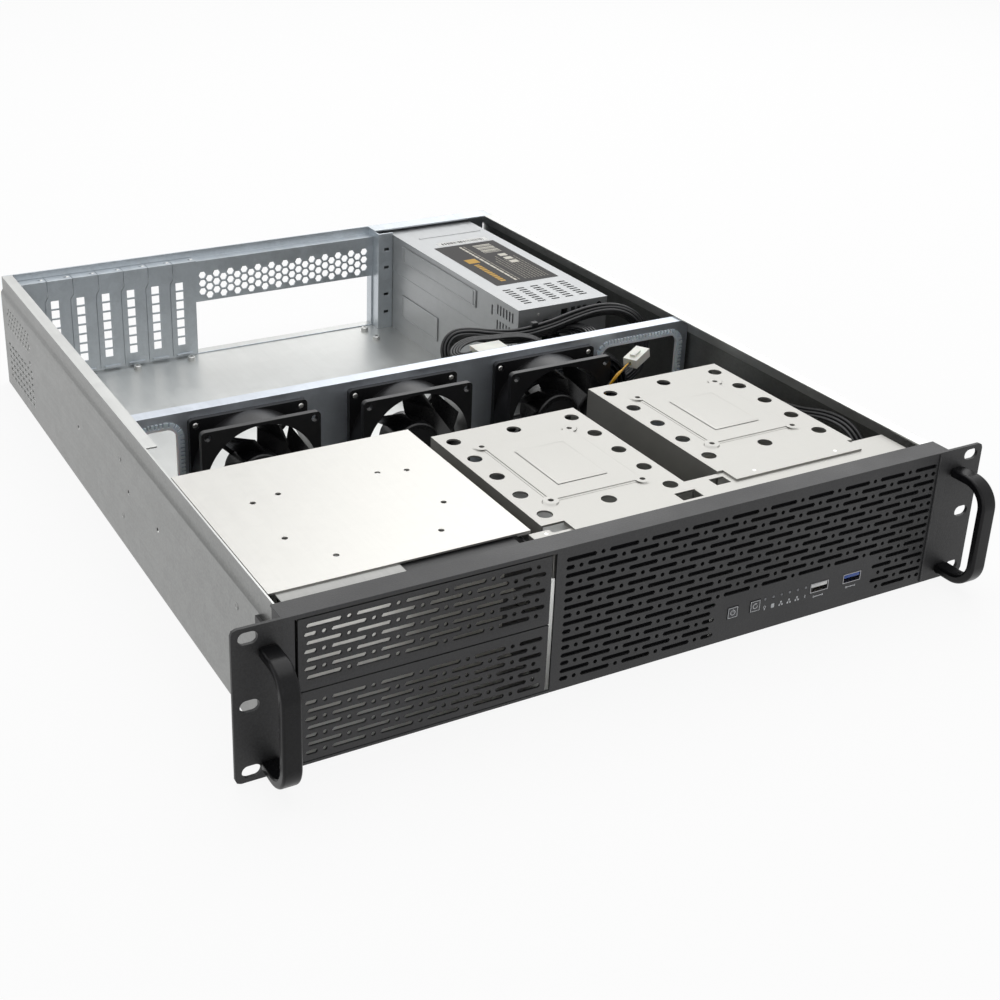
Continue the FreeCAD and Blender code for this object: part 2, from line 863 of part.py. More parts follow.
def cage_pressing(x, y, points):
    """The raised plateau of the top plate, its four bosses and its pad."""
    top = float(d.cage_top)
    rise = float(d.plateau_height)
    across = float(d.small_drive_x) / 2
    along = float(d.small_drive_y) / 2
    plateau = block((x - across, x + across), (y - along, y + along), (top, top + rise))
    edges = [edge for edge in plateau.Edges if edge.BoundBox.ZMin > top + rise / 2]
    plateau = plateau.makeChamfer(rise * 0.8, edges)
    bosses = [disc("Z", (u, v, top), 4.6, rise) for u, v in points]
    pad = block((x - 15, x + 15), (y - 22, y + 22), (top, top + 2 * rise))
    edges = [edge for edge in pad.Edges if edge.BoundBox.ZMin > top + rise]
    pad = pad.makeChamfer(rise * 0.95, edges)
    return plateau.multiFuse(bosses + [pad])


def make_front_crossbar():
    wall = d.cage_wall
    top = d.cage_top - wall
    left = d.bay_x + d.bay_width / 2 - 2.5
    right = d.crossbar_right
    step_x = d.middle_cage_x + d.cage_width / 2 + 1
    tab_right = d.middle_cage_x - d.cage_width / 2 + 3
    tab_rear = d.bay_front - 1.5
    corners = [
        (left, d.crossbar_front),
        (right, d.crossbar_front),
        (right, d.crossbar_rear),
        (step_x, d.crossbar_rear),
        (step_x, d.crossbar_step),
        (tab_right, d.crossbar_step),
        (tab_right, tab_rear),
        (left, tab_rear),
    ]
    body = new_body("crossbar")
    padded(body, "XY_Plane", corners, top - wall, top)
    apron = [
        (left, top - d.crossbar_drop),
        (right, top - d.crossbar_drop),
        (right, top - wall),
        (left, top - wall),
    ]
    padded(body, "XZ_Plane", apron, d.crossbar_front, d.crossbar_front + wall)
    cage_left = float(d.right_cage_x - d.cage_width / 2)
    notch = block((cage_left - 9.5, cage_left + 0.5), (31.0, 39.0), (float(top) - 3, float(top) + 1))
    finish(cut("crossbar_cut", body, shaped("crossbar_notch", [notch])), "front_crossbar")


def make_cage_screws():
    top = d.cage_top
    places = [
        (d.right_cage_x - 30.4, d.cage_tongue_front + 4.8),
        (d.right_cage_x + 30.4, d.cage_tongue_front + 4.8),
        (d.middle_cage_x - 30.4, 17.0),
        (d.middle_cage_x + 30.4, 17.0),
    ]
    screws = [rod("cage_screw_%d" % n, "Z", (x, y, top), 3.0, 0.8) for n, (x, y) in enumerate(places)]
    crossbar_screw = (d.middle_cage_x - 52.0, 24.2, top - d.cage_wall)
    screws.append(rod("crossbar_screw", "Z", crossbar_screw, 3.0, 0.8))
    group = doc.addObject("Part::Compound", "cage_screw_set")
    group.Links = screws
    finish(group, "cage_screws")


# Fan wall, fans and the edge trims of its cable openings


def fan_centre(number):
    return d.fan_middle_x + d.fan_pitch * (number - 1)


def fan_level():
    return floor_top + d.seat_gap + d.fan_size / 2


def fan_fixings(number):
    """Screw places of one fan."""
    spread = float(d.fan_hole_spacing) / 2
    x = float(fan_centre(number))
    z = float(fan_level())
    return [(x + across * spread, z + along * spread) for across in (-1, 1) for along in (-1, 1)]


def pass_openings():
    """The two cable openings as spans along X and Z."""
    left = ((-d.pass_edge, d.pass_left_x), (d.pass_low, d.pass_top))
    right = ((d.pass_right_x, d.pass_edge), (d.pass_low, d.pass_top))
    return {"left": left, "right": right}


def make_fan_wall():
    wall = d.sheet_wall
    front = d.fan_wall_y
    top = d.fan_wall_top
    flange_half = half_width - d.shoulder_inset - d.lip_width
    upright = box("fan_wall_upright", (-inner_half, inner_half), (front, front + wall), (floor_top, top))
    rear = front + d.fan_wall_flange
    upper = box("fan_wall_upper", (-flange_half, flange_half), (front, rear), (top - wall, top))
    foot = box("fan_wall_foot", (-inner_half, inner_half), (front + wall, rear), (floor_top, floor_top + wall))
    low = float(front) - 1
    high = float(front + wall) + 1
    holes = []
    for number in range(3):
        centre = (fan_centre(number), low, fan_level())
        holes.append(disc("Y", centre, d.fan_bore, high - low))
        for x, z in fan_fixings(number):
            holes.append(prism(polygon((x, z), float(d.fan_hole) * 1.05, 8, 0), "XZ", low, high))
    for x, z in pass_openings().values():
        holes.append(rounded_slab(x, z, d.pass_corner, low, high))
    upright_cut = cut("fan_wall_cut", upright, shaped("fan_wall_holes", holes))
    ends = [
        box("fan_wall_end_left", (-inner_half, -inner_half + wall), (front, rear), (floor_top, top - 3)),
        box("fan_wall_end_right", (inner_half - wall, inner_half), (front, rear), (floor_top, top - 3)),
    ]
    finish(fuse("fan_wall_whole", [upright_cut, upper, foot] + ends), "fan_wall")


def make_edge_trims():
    front = float(d.fan_wall_y)
    rear = front + float(d.sheet_wall)
    cover = float(d.trim_wall)
    width = float(d.trim_width)
    radius = float(d.pass_corner)
    for tag, (x, z) in pass_openings().items():
        x0, x1 = float(x[0]), float(x[1])
        z0, z1 = float(z[0]), float(z[1])
        outer = rounded_slab((x0 - width, x1 + width), (z0 - width, z1 + width), radius + width, front - cover, rear + cover)
        inner = rounded_slab((x0 + cover, x1 - cover), (z0 + cover, z1 - cover), radius - cover, front - 3, rear + 3)
        sheet_zone = block((x0 - 9, x1 + 9), (front, rear), (z0 - 9, z1 + 9))
        sheet_zone = sheet_zone.cut(rounded_slab((x0, x1), (z0, z1), radius, front - 1, rear + 1))
        finish(shaped("trim_" + tag, [outer.cut(inner).cut(sheet_zone)]), "edge_trim_" + tag)


def fan_blade(axis_x, axis_z, hub, tip, front, depth, angle):
    """A swept blade through three thin slanted sections."""
    sections = []
    for step, sweep, chord in ((hub - 1.5, 0.0, 0.86), ((hub + tip) / 2, 12.0, 0.95), (tip, 30.0, 1.0)):
        turn = math.radians(angle + sweep)
        radial = Vector(math.cos(turn), 0, math.sin(turn))
        round_way = Vector(-math.sin(turn), 0, math.cos(turn))
        middle = Vector(axis_x, front + depth / 2, axis_z) + radial * step
        reach = depth / 2 * chord
        lean = round_way * (reach * 0.95)
        half_thick = (round_way * 0.8 + Vector(0, 0.5, 0)) * 0.9
        rise = Vector(0, reach, 0)
        corners = [
            middle - lean - rise - half_thick,
            middle + lean + rise - half_thick,
            middle + lean + rise + half_thick,
            middle - lean - rise + half_thick,
        ]
        sections.append(Part.makePolygon(corners + corners[:1]))
    return Part.makeLoft(sections, True, True)


def make_fan(number):
    name = "fan_%d" % (number + 1)
    x = fan_centre(number)
    z = fan_level()
    half = d.fan_size / 2
    rear = d.fan_wall_y
    front = rear - d.fan_depth
    thick = d.fan_flange
    centre_x = float(x)
    centre_z = float(z)
    solids = []
    span_x = (x - half, x + half)
    span_z = (z - half, z + half)
    for low in (float(front), float(rear - thick)):
        solids.append(rounded_slab(span_x, span_z, 3.0, low, low + float(thick)))
    barrel = disc("Y", (x, front + thick / 2, z), float(d.fan_bore) + 1.9, d.fan_depth - thick)
    solids.append(barrel.common(block(span_x, (front, rear), span_z)))
    shell = solids[0].multiFuse(solids[1:])
    shell = shell.cut(disc("Y", (x, front - 1, z), d.fan_bore, d.fan_depth + 2))
    corner_holes = []
    for u, v in fan_fixings(number):
        corner_holes.append(prism(polygon((u, v), float(d.fan_hole) * 1.05, 8, 0), "XZ", front - 1, rear + 1))
    shell = shell.cut(Part.makeCompound(corner_holes))
    base = disc("Y", (x, rear - 3.2, z), float(d.fan_hub) - 0.5, 3.2)
    arms = []
    for turn in (45, 135, 225, 315):
        low_y = float(rear) - 3.0
        arm = block((centre_x + 14, centre_x + float(d.fan_bore) + 0.8), (low_y, low_y + 3), (centre_z - 1.5, centre_z + 1.5))
        arms.append(arm.rotated(Vector(centre_x, 0, centre_z), Vector(0, 1, 0), turn))
    bearing = disc("Y", (x, rear - 9, z), 1.6, 9)
    carrier = base.multiFuse(arms).cut(bearing)
    finish(shaped(name + "_casting", [shell.fuse(carrier)]), "fan_frame_%d" % (number + 1))
    hub_front = float(front) + 1.2
    hub_rear = float(rear) - 3.2 - float(d.seat_gap) * 2
    hub = disc("Y", (x, hub_front, z), d.fan_hub, hub_rear - hub_front)
    rim = [edge for edge in hub.Edges if edge.BoundBox.YMax < hub_front + 1e-6]
    hub = hub.makeFillet(2.0, rim)
    shaft = disc("Y", (x, hub_rear - 1, z), 1.5, 3.6)
    blades = []
    for blade in range(BLADE_COUNT):
        angle = 360.0 * blade / BLADE_COUNT + 14 * number
        blade_front = float(front) + 3.2
        depth = float(rear) - 5.2 - blade_front
        args = (float(d.fan_hub), float(d.fan_blade_tip), blade_front, depth, angle)
        blades.append(fan_blade(centre_x, centre_z, *args))
    finish(shaped(name + "_wheel", [hub.multiFuse([shaft] + blades)]), "fan_rotor_%d" % (number + 1))


def make_fan_screws():
    seat = float(d.fan_wall_y) - float(d.fan_flange)
    screws = []
    for number in range(3):
        for x, z in fan_fixings(number):
            head = disc("Y", (x, seat - 2.0, z), 3.0, 2.0)
            shank = prism(polygon((x, z), 1.9, 6, 0), "XZ", seat, d.fan_wall_y + d.sheet_wall + 1.5)
            screws.append(head.fuse(shank))
    finish(shaped("fan_screw_set", screws), "fan_screws")


# Rear panel, slot covers and their screws


def cover_span(number):
    """Left and right edge of one slot cover, counted from the left."""
    right = d.cover_right - d.cover_pitch * (d.cover_count - 1 - number)
    return right - d.cover_pitch + d.cover_gap / 2, right - d.cover_gap / 2


def hexagons(low, high):
    """The honeycomb vent over the board connectors."""
    pitch = float(d.hex_pitch)
    step = pitch * math.sqrt(3) / 2
    radius = float(d.hex_size) / math.sqrt(3)
    right = float(d.io_left + d.io_width) - radius
    cells = []
    column = 0
    x = float(d.hex_left)
    while x < right - radius:
        drop = pitch / 2 if column % 2 else 0.0
        for row in range(3):
            middle = (x, float(d.hex_top) - drop - pitch * row)
            cells.append(prism(polygon(middle, radius, 6, 0), "XZ", low, high))
        x += step
        column += 1
    return cells


def make_rear_panel():
    wall = d.sheet_wall
    plane = d.panel_y
    ledge = d.ledge_height
    rear = d.case_depth
    right = d.panel_right
    top = d.flange_height
    plate = box("panel_plate", (-inner_half, right), (plane, plane + wall), (floor_top, ledge))
    shelf = box("panel_shelf", (-inner_half, right), (plane, rear), (ledge - wall, ledge))
    rim = box("panel_rim", (-inner_half, right), (rear - wall, rear), (ledge - wall, top))
    jog = box("panel_jog", (right - wall, right), (plane, rear), (floor_top, top))
    outer = box("panel_outer", (right - wall, inner_half), (rear - wall, rear), (floor_top, top))
    lip = box("panel_lip", (right - wall, inner_half), (rear - d.rear_lip, rear), (top - wall, top))
    folded = fuse("panel_sheet", [plate, shelf, rim, jog, outer, lip])
    low = float(plane) - 1
    high = float(plane + wall) + 1
    holes = hexagons(low, high)
    io_x = (d.io_left, d.io_left + d.io_width)
    holes.append(block(io_x, (low, high), (d.io_low, d.io_low + d.io_height)))
    for number in range(int(d.cover_count.value)):
        left, right = [float(edge) for edge in cover_span(number)]
        slot_x = (left + float(d.card_slot_inset), right - float(d.card_slot_inset))
        holes.append(block(slot_x, (low, high), (float(d.card_slot_low), float(d.card_slot_high))))
    psu_x = (float(d.psu_left) + 3.5, float(d.psu_left + d.psu_width) - 3.5)
    holes.append(block(psu_x, (float(rear) - 3, float(rear) + 1), (4.0, float(d.psu_top) - 1.2)))
    finish(cut("panel_cut", folded, shaped("panel_holes", holes)), "rear_panel")


def make_pci_covers():
    wall = 0.9
    front = float(d.panel_y) - wall
    jog = float(d.cover_jog)
    top = float(d.ledge_height) + wall
    low = float(d.cover_low)
    for number in range(int(d.cover_count.value)):
        left, right = [float(edge) for edge in cover_span(number)]
        corners = [
            (left, low),
            (right, low),
            (right, top - 17),
            (right + jog, top - 13),
            (right + jog, top),
            (left + jog, top),
            (left + jog, top - 13),
            (left, top - 17),
        ]
        plate = prism(corners, "XZ", front, front + wall)
        tab = block((left + jog, right + jog), (front, front + 10.2), (top - wall, top))
        foot = block((left + 3.0, right - 3.5), (front - 1.6, front), (low, low + 1.4))
        whole = plate.multiFuse([tab, foot])
        vents = []
        middle = left + (right - left) * 0.38
        half = float(d.cover_vent) / 2
        for row in range(7):
            z = float(d.cover_vent_low) + float(d.cover_vent_pitch) * row
            vents.append(block((middle - half, middle + half), (front - 1, front + 2), (z - half, z + half)))
        screw_x, screw_y = screw_place(number)
        vents.append(disc("Z", (screw_x, screw_y, top - 2), 1.9, 4))
        name = "pci_cover_%d" % (number + 1)
        finish(shaped(name + "_blank", [whole.cut(Part.makeCompound(vents))]), name)


def screw_place(number):
    """Where a slot cover's screw stands on the ledge."""
    return float(cover_span(number)[1]) - 1.2, float(d.panel_y) + 4.8


def make_pci_screws():
    top = float(d.ledge_height) + 0.9
    screws = []
    for number in range(int(d.cover_count.value)):
        x, y = screw_place(number)
        head = disc("Z", (x, y, top), 3.0, 1.8)
        shank = prism(polygon((x, y), 1.6, 6, 0), "XY", d.ledge_height, top)
        screws.append(head.fuse(shank))
    finish(shaped("pci_screw_set", screws), "pci_screws")


def make_rear_post():
    """The angle that stands between the board space and the power supply."""
    wall = d.sheet_wall
    left = d.panel_right - wall
    right = d.psu_left - d.seat_gap
    front = d.panel_y - 11
    top = d.flange_height - d.sheet_wall
    corners = [
        (left, front),
        (right, front),
        (right, front + wall),
        (left + wall, front + wall),
        (left + wall, d.panel_y),
        (left, d.panel_y),
    ]
    body = new_body("post")
    padded(body, "XY_Plane", corners, floor_top, top)
    x = (float(left) + float(right)) / 2 + 1
    holes = []
    for level in (16.0, 32.0, 56.0, 72.0):
        across = (x - 2.2, x + 2.2)
        holes.append(block(across, (float(front) - 1, float(front) + 3), (level - 1.2, level + 1.2)))
    finish(cut("post_cut", body, shaped("post_holes", holes)), "rear_post")


# Power supply in the right rear corner


def psu_spans():
    left = d.psu_left
    right = left + d.psu_width
    front = d.psu_front
    rear = d.case_depth - d.sheet_wall
    low = floor_top
    return left, right, front, rear, low


def make_psu_case():
    """The lower shell, joggled inwards where the cover laps over it."""
    left, right, front, rear, low = psu_spans()
    wall = d.psu_wall
    lap = wall + 0.1
    seam = d.psu_seam
    top = d.psu_top - wall - 0.1
    corners = [
        (left, low),
        (right, low),
        (right, seam),
        (right - lap, seam),
        (right - lap, top),
        (right - lap - wall, top),
        (right - lap - wall, seam - wall),
        (right - wall, seam - wall),
        (right - wall, low + wall),
        (left + wall, low + wall),
        (left + wall, seam - wall),
        (left + lap + wall, seam - wall),
        (left + lap + wall, top),
        (left + lap, top),
        (left + lap, seam),
        (left, seam),
    ]
    body = new_body("psu_body")
    padded(body, "XZ_Plane", corners, front, rear)
    for start in (front, rear - wall):
        end = [
            (left + lap, low + wall / 2),
            (right - lap, low + wall / 2),
            (right - lap, top),
            (left + lap, top),
        ]
        padded(body, "XZ_Plane", end, start, start + wall)
    x = float(left + right) / 2
    rear_y = float(rear)
    bore = disc("Y", (x, rear_y - 4, psu_fan_level()), d.psu_fan_bore, 8)
    wide = float(d.inlet_width) / 2
    low_z = float(d.inlet_low)
    inlet = block((x - wide, x + wide), (rear_y - 4, rear_y + 4), (low_z, low_z + float(d.inlet_height) - 6))
    edge = float(left)
    front_y = (float(front) - 2, float(front) + 3)
    ports = [
        block((edge + 21.5, edge + 37.5), front_y, (54.0, 73.5)),
        block((edge + 37.3, edge + 43.0), front_y, (74.5, 79.6)),
        block((edge + 46.2, edge + 49.6), front_y, (73.0, 80.0)),
        block((edge + 51.4, edge + 54.8), front_y, (73.0, 80.0)),
        block((edge + 56.6, edge + 60.0), front_y, (73.0, 80.0)),
    ]
    holes = [bore, inlet] + ports + psu_side_slits()
    pierced = cut("psu_case_cut", body, shaped("psu_case_holes", holes))
    panel = pressed_panel(left, (446.0, 508.2), (16.0, 36.0))
    finish(fuse("psu_case_sheet", [pierced, shaped("psu_case_panel", [panel])]), "psu_case")


def psu_side_slits():
    """The upright slits near the front of the supply's left side."""
    left = float(d.psu_left)
    front = float(d.psu_front)
    slits = []
    for bank in range(3):
        for column in range(6):
            y = front + 8.0 + 4.35 * column
            z = float(d.psu_seam) + 5.6 + 12.3 * bank
            slits.append(block((left - 1, left + 4), (y - 0.95, y + 0.95), (z - 3.9, z + 3.9)))
    y = front + 38.0
    z = float(d.psu_seam) + 27.4
    slits.append(block((left - 1, left + 4), (y - 0.95, y + 0.95), (z - 4.0, z + 4.0)))
    return slits


def pressed_panel(left, y, z):
    """A flat field pressed a little out of the left side."""
    rise = 0.5
    slab = block((float(left) - rise, left), y, z)
    edges = [edge for edge in slab.Edges if edge.BoundBox.XMax < float(left) - rise / 2]
    return slab.makeChamfer(rise * 0.9, edges)


def psu_fan_level():
    return float(d.psu_top) - 1.6 - float(d.psu_fan_size) / 2


def make_psu_cover():
    left, right, front, rear, low = psu_spans()
    wall = d.psu_wall
    top = d.psu_top
    seam = d.psu_seam
    corners = [
        (left, seam),
        (left + wall, seam),
        (left + wall, top - wall),
        (right - wall, top - wall),
        (right - wall, seam),
        (right, seam),
        (right, top),
        (left, top),
    ]
    body = new_body("psu_lid")
    padded(body, "XZ_Plane", corners, front, rear)
    vents = []
    high = float(top)
    for bank in range(5):
        for line in range(8):
            x = float(left) + 15.2 + 12.3 * bank
            y = float(front) + 12.2 + 4.4 * line
            vents.append(block((x - 3.4, x + 3.4), (y - 1.1, y + 1.1), (high - 2, high + 1)))
    pierced = cut("psu_lid_cut", body, shaped("psu_lid_vents", vents + psu_side_slits()))
    panel = pressed_panel(left, (390.0, 511.0), (65.5, 78.5))
    finish(fuse("psu_lid_sheet", [pierced, shaped("psu_lid_panel", [panel])]), "psu_cover")


def make_psu_inside():
    left, right, front, rear, low = psu_spans()
    base = low + d.psu_wall + 3
    board = box("psu_plate", (left + 4, right - 4), (front + 8, rear - 30), (base, base + 1.6))
    feet = []
    for number, (x, y) in enumerate(((left + 8, front + 14), (right - 8, front + 14), (left + 8, rear - 36), (right - 8, rear - 36))):
        feet.append(rod("psu_foot_%d" % number, "Z", (x, y, low + d.psu_wall), 2.0, 3.0))
    parts = [
        box("psu_transformer", (left + 24, left + 58), (front + 90, front + 128), (base + 1.6, base + 34)),
        box("psu_sink_left", (left + 12, left + 15), (front + 40, front + 150), (base + 1.6, base + 52)),
        box("psu_sink_right", (right - 15, right - 12), (front + 40, front + 150), (base + 1.6, base + 52)),
        rod("psu_capacitor", "Z", (left + 40, front + 160, base + 1.6), 14.0, 38.0),
        box("psu_choke", (left + 28, left + 50), (front + 40, front + 62), (base + 1.6, base + 22)),
    ]
    finish(fuse("psu_board_whole", [board] + feet + parts), "psu_board")


def make_psu_fan():
    left, right, front, rear, low = psu_spans()
    wall = float(d.psu_wall)
    x = float(left + right) / 2
    z = psu_fan_level()
    back = float(rear) - wall
    depth = float(d.psu_fan_depth)
    start = back - depth
    half = float(d.psu_fan_size) / 2
    bore = float(d.psu_fan_bore)
    shell = rounded_slab((x - half, x + half), (z - half, z + half), 3.0, start, back)
    shell = shell.cut(disc("Y", (x, start - 1, z), bore, depth + 2))
    base = disc("Y", (x, start, z), 12.5, 3)
    arms = []
    for turn in (0, 120, 240):
        arm = block((x + 11, x + bore + 0.6), (start, start + 3), (z - 1.4, z + 1.4))
        arms.append(arm.rotated(Vector(x, 0, z), Vector(0, 1, 0), turn))
    carrier = base.multiFuse(arms).cut(disc("Y", (x, start - 1, z), 1.6, 6))
    finish(shaped("psu_fan_casting", [shell.fuse(carrier)]), "psu_fan_frame")
    hub_front = start + 3.6
    hub_rear = back - 1.5
    hub = disc("Y", (x, hub_front, z), 13.0, hub_rear - hub_front)
    shaft = disc("Y", (x, hub_front - 2.8, z), 1.5, 3.8)
    blades = []
    for blade in range(BLADE_COUNT):
        angle = 360.0 * blade / BLADE_COUNT
        blades.append(fan_blade(x, z, 13.0, bore - 1.4, hub_front + 1.0, hub_rear - hub_front - 2, angle))
    finish(shaped("psu_fan_wheel", [hub.multiFuse([shaft] + blades)]), "psu_fan_rotor")
    guard_front = float(rear)
    wire = 0.55
    rings = []
    for radius in (6.5, 13.0, 19.5, 26.0):
        rings.append(disc("Y", (x, guard_front, z), radius + wire, 2 * wire).cut(disc("Y", (x, guard_front - 1, z), radius - wire, 4)))
    spokes = []
    for turn in (45, 135, 225, 315):
        bar = block((x + 6, x + 31), (guard_front, guard_front + 2 * wire), (z - wire, z + wire))
        spokes.append(bar.rotated(Vector(x, 0, z), Vector(0, 1, 0), turn))
    guard = rings[0].multiFuse(rings[1:] + spokes)
    finish(shaped("psu_guard_wires", [guard]), "psu_fan_guard")


def make_psu_inlet():
    left, right, front, rear, low = psu_spans()
    x = (left + right) / 2
    wide = d.inlet_width / 2 - 0.2
    back = rear + 1.0
    base = d.inlet_low + 0.2
    tall = d.inlet_height - 6.4
    outer = box("inlet_outer", (x - wide, x + wide), (rear - 16, rear), (base, base + tall))
    rim = box("inlet_rim", (x - wide - 2, x + wide + 2), (rear, back), (base - 1.2, base + tall + 1.2))
    hollow = box("inlet_hollow", (x - wide + 3, x + wide - 3), (rear - 13, back + 1), (base + 2.6, base + tall - 2.6))
    pins = []
    for number, (across, up) in enumerate(((-6.5, 0.0), (0.0, 1.2), (6.5, 0.0))):
        px = x + across
        pz = base + tall / 2 + up
        pins.append(box("inlet_pin_%d" % number, (px - 1, px + 1), (rear - 13.5, rear - 1), (pz - 2, pz + 2)))
    shell = cut("inlet_shell", fuse("inlet_block", [outer, rim]), hollow)
    finish(fuse("inlet_whole", [shell] + pins), "psu_inlet")


# Studs for a mainboard


def board_studs():
    """Stud places: the usual three by three board pattern and two extras."""
    x = d.board_corner_x
    y = d.board_corner_y
    columns = (0.0, 157.48, 281.94)
    rows = (0.0, 154.94, 227.33)
    places = [(x - across, y - back) for across in columns for back in rows]
    places.append((x, y - 22.86))
    places.append((x - 203.2, y))
    return places


def make_board_studs():
    studs = []
    for x, y in board_studs():
        stud = disc("Z", (x, y, floor_top), d.stud_radius, d.stud_height - d.stud_chamfer)
        rim = Vector(float(x), float(y), float(floor_top + d.stud_height - d.stud_chamfer))
        top_radius = float(d.stud_radius - d.stud_chamfer)
        crown = Part.makeCone(float(d.stud_radius), top_radius, float(d.stud_chamfer), rim)
        thread = disc("Z", (x, y, floor_top + 1), 1.3, d.stud_height)
        studs.append(stud.fuse(crown).cut(thread))
    finish(shaped("stud_set", studs), "board_studs")


# Cables: straight runs joined by tangent arcs


def rounded_route(points):
    """A wire through the points, with each corner an arc as large as it can be."""
    places = [Vector(*point) for point in points]
    edges = []
    radii = []
    start = places[0]
    for number in range(1, len(places) - 1):
        before, corner, after = places[number - 1:number + 2]
        run_in = corner - before
        run_out = after - corner
        shorter = min(run_in.Length, run_out.Length)
        turn = run_in.getAngle(run_out)
        reach = 0.45 * shorter
        radius = reach / math.tan(turn / 2)
        radii.append(round(radius, 1))
        way_in = Vector(run_in).normalize()
        way_out = Vector(run_out).normalize()
        first = corner - way_in * reach
        last = corner + way_out * reach
        middle_way = (way_out - way_in).normalize()
        centre = corner + middle_way * (radius / math.cos(turn / 2))
        through = centre - middle_way * radius
        edges.append(Part.LineSegment(start, first).toShape())
        edges.append(Part.Arc(first, through, last).toShape())
        start = last
    edges.append(Part.LineSegment(start, places[-1]).toShape())
    return Part.Wire(edges), radii


def make_cord(label, points, diameter):
    wire, radii = rounded_route(points)
    first = Vector(*points[0])
    way = Vector(*points[1]) - first
    ring = Part.Wire(Part.makeCircle(float(diameter) / 2, first, way))
    tube = wire.makePipeShell([ring], True, False)
    expected = math.pi * float(diameter) ** 2 / 4 * wire.Length
    print("cord %s: length %.1f, radii %s, volume share %.4f" % (label, wire.Length, radii, tube.Volume / expected))
    return finish(shaped(label + "_tube", [tube]), label)


UPPER_LEAD = [
    (180.0, 284.0, 33.0),
    (189.0, 284.0, 36.0),
    (197.5, 286.0, 46.0),
    (201.5, 289.0, 60.0),
    (198.5, 294.0, 74.0),
    (187.0, 301.0, 81.5),
    (171.0, 307.0, 81.5),
    (152.0, 309.5, 77.5),
    (131.0, 309.5, 72.5),
    (104.0, 310.5, 69.5),
    (84.0, 316.0, 71.5),
    (68.0, 321.0, 74.5),
    (56.0, 323.5, 73.5),
    (49.0, 321.0, 65.0),
    (49.5, 313.0, 54.0),
    (53.0, 305.5, 48.0),
    (56.0, 299.4, 45.0),
]

LOWER_LEAD = [
    (118.0, 288.0, 66.0),
    (112.0, 291.5, 72.0),
    (102.5, 297.0, 75.5),
    (92.0, 302.0, 75.5),
    (79.0, 305.5, 74.5),
    (64.0, 306.5, 76.0),
    (51.5, 304.0, 74.5),
    (44.0, 298.0, 72.0),
    (44.5, 291.5, 71.0),
    (50.5, 289.5, 70.8),
    (56.0, 290.5, 70.8),
]

ROOT_LEAD = [
    (142.0, 326.5, 60.0),
    (142.0, 318.5, 59.5),
    (141.6, 309.5, 56.0),
    (141.0, 299.4, 50.0),
]

FAN_LEAD = [
    (128.0, 228.0, 8.0),
    (136.0, 227.0, 7.0),
    (149.0, 223.0, 4.5),
    (165.0, 214.0, 3.2),
    (176.0, 201.0, 3.0),
    (172.0, 188.0, 3.0),
    (156.0, 184.0, 3.2),
    (138.0, 188.0, 4.0),
    (122.0, 197.0, 7.0),
    (112.0, 207.0, 14.0),
    (109.0, 214.0, 27.0),
    (111.0, 217.5, 42.0),
    (117.0, 218.5, 56.0),
    (125.0, 218.0, 67.0),
    (134.0, 219.3, 72.3),
    (142.5, 223.5, 74.0),
]

PANEL_LEAD = [
    (158.0, 13.6, 19.5),
    (161.0, 23.0, 20.0),
    (172.0, 31.5, 21.5),
    (187.0, 44.0, 27.0),
    (195.0, 70.0, 40.0),
    (199.0, 100.0, 54.0),
    (200.0, 130.0, 60.0),
    (198.5, 160.0, 57.0),
    (196.0, 190.0, 47.0),
    (195.0, 220.0, 36.0),
    (195.5, 250.0, 29.0),
    (197.5, 273.0, 20.5),
    (198.2, 288.0, 10.5),
    (197.4, 297.0, 6.0),
    (197.0, 304.0, 4.6),
]


def set_along(solid, end, before):
    """Turns a piece made along X to the way in which a cord arrives."""
    way = Vector(*end) - Vector(*before)
    placed = solid.copy()
    placed.Placement = Placement(Vector(*end), Rotation(Vector(1, 0, 0), way))
    return Part.makeCompound([placed])


def make_cables():
    make_cord("psu_lead_upper", UPPER_LEAD, d.lead_diameter)
    make_cord("psu_lead_lower", LOWER_LEAD, d.lead_diameter - 1)
    make_cord("psu_lead_root", ROOT_LEAD, d.lead_diameter + 3)
    make_cord("fan_lead", FAN_LEAD, d.fan_lead_diameter)
    make_cord("panel_lead", PANEL_LEAD, d.panel_lead_diameter)
    hank = rounded_slab((40.0, 180.0), (d.sheet_wall, 66.0), 28.0, 268.0, 299.4)
    finish(shaped("hank_solid", [hank]), "psu_lead_hank")
    end = LOWER_LEAD[-1]
    plug = block((end[0], end[0] + 24), (end[1] - 6.5, end[1] + 6.5), (66.0, 75.6))
    finish(shaped("plug_solid", [plug]), "psu_lead_plug")
    before = Vector(*UPPER_LEAD[8])
    after = Vector(*UPPER_LEAD[9])
    middle = (before + after) * 0.5
    inner = float(d.lead_diameter) / 2 + 0.05
    ring = Part.makeCylinder(inner + 1.0, 2.6, Vector(-1.3, 0, 0), Vector(1, 0, 0))
    ring = ring.cut(Part.makeCylinder(inner, 4, Vector(-2, 0, 0), Vector(1, 0, 0)))
    lock = Part.makeBox(4.4, 4.2, 3.2, Vector(-2.2, -2.1, inner + 0.7))
    tie = set_along(ring.fuse(lock), tuple(middle), tuple(before))
    finish(shaped("tie_solid", [tie]), "cable_tie")
    shell = Part.makeBox(19.0, 10.4, 6.4, Vector(0, -5.2, -3.2))
    latch = Part.makeBox(8.0, 4.0, 1.6, Vector(4, -2.0, 3.2))
    fan_plug = set_along(shell.fuse(latch), FAN_LEAD[-1], FAN_LEAD[-2])
    finish(shaped("fan_plug_solid", [fan_plug]), "fan_plug")
    end = PANEL_LEAD[-1]
    plug = block((end[0] - 5, end[0] + 5), (end[1], end[1] + 14), (d.sheet_wall, d.sheet_wall + 6.6))
    finish(shaped("panel_plug_solid", [plug]), "panel_plug")


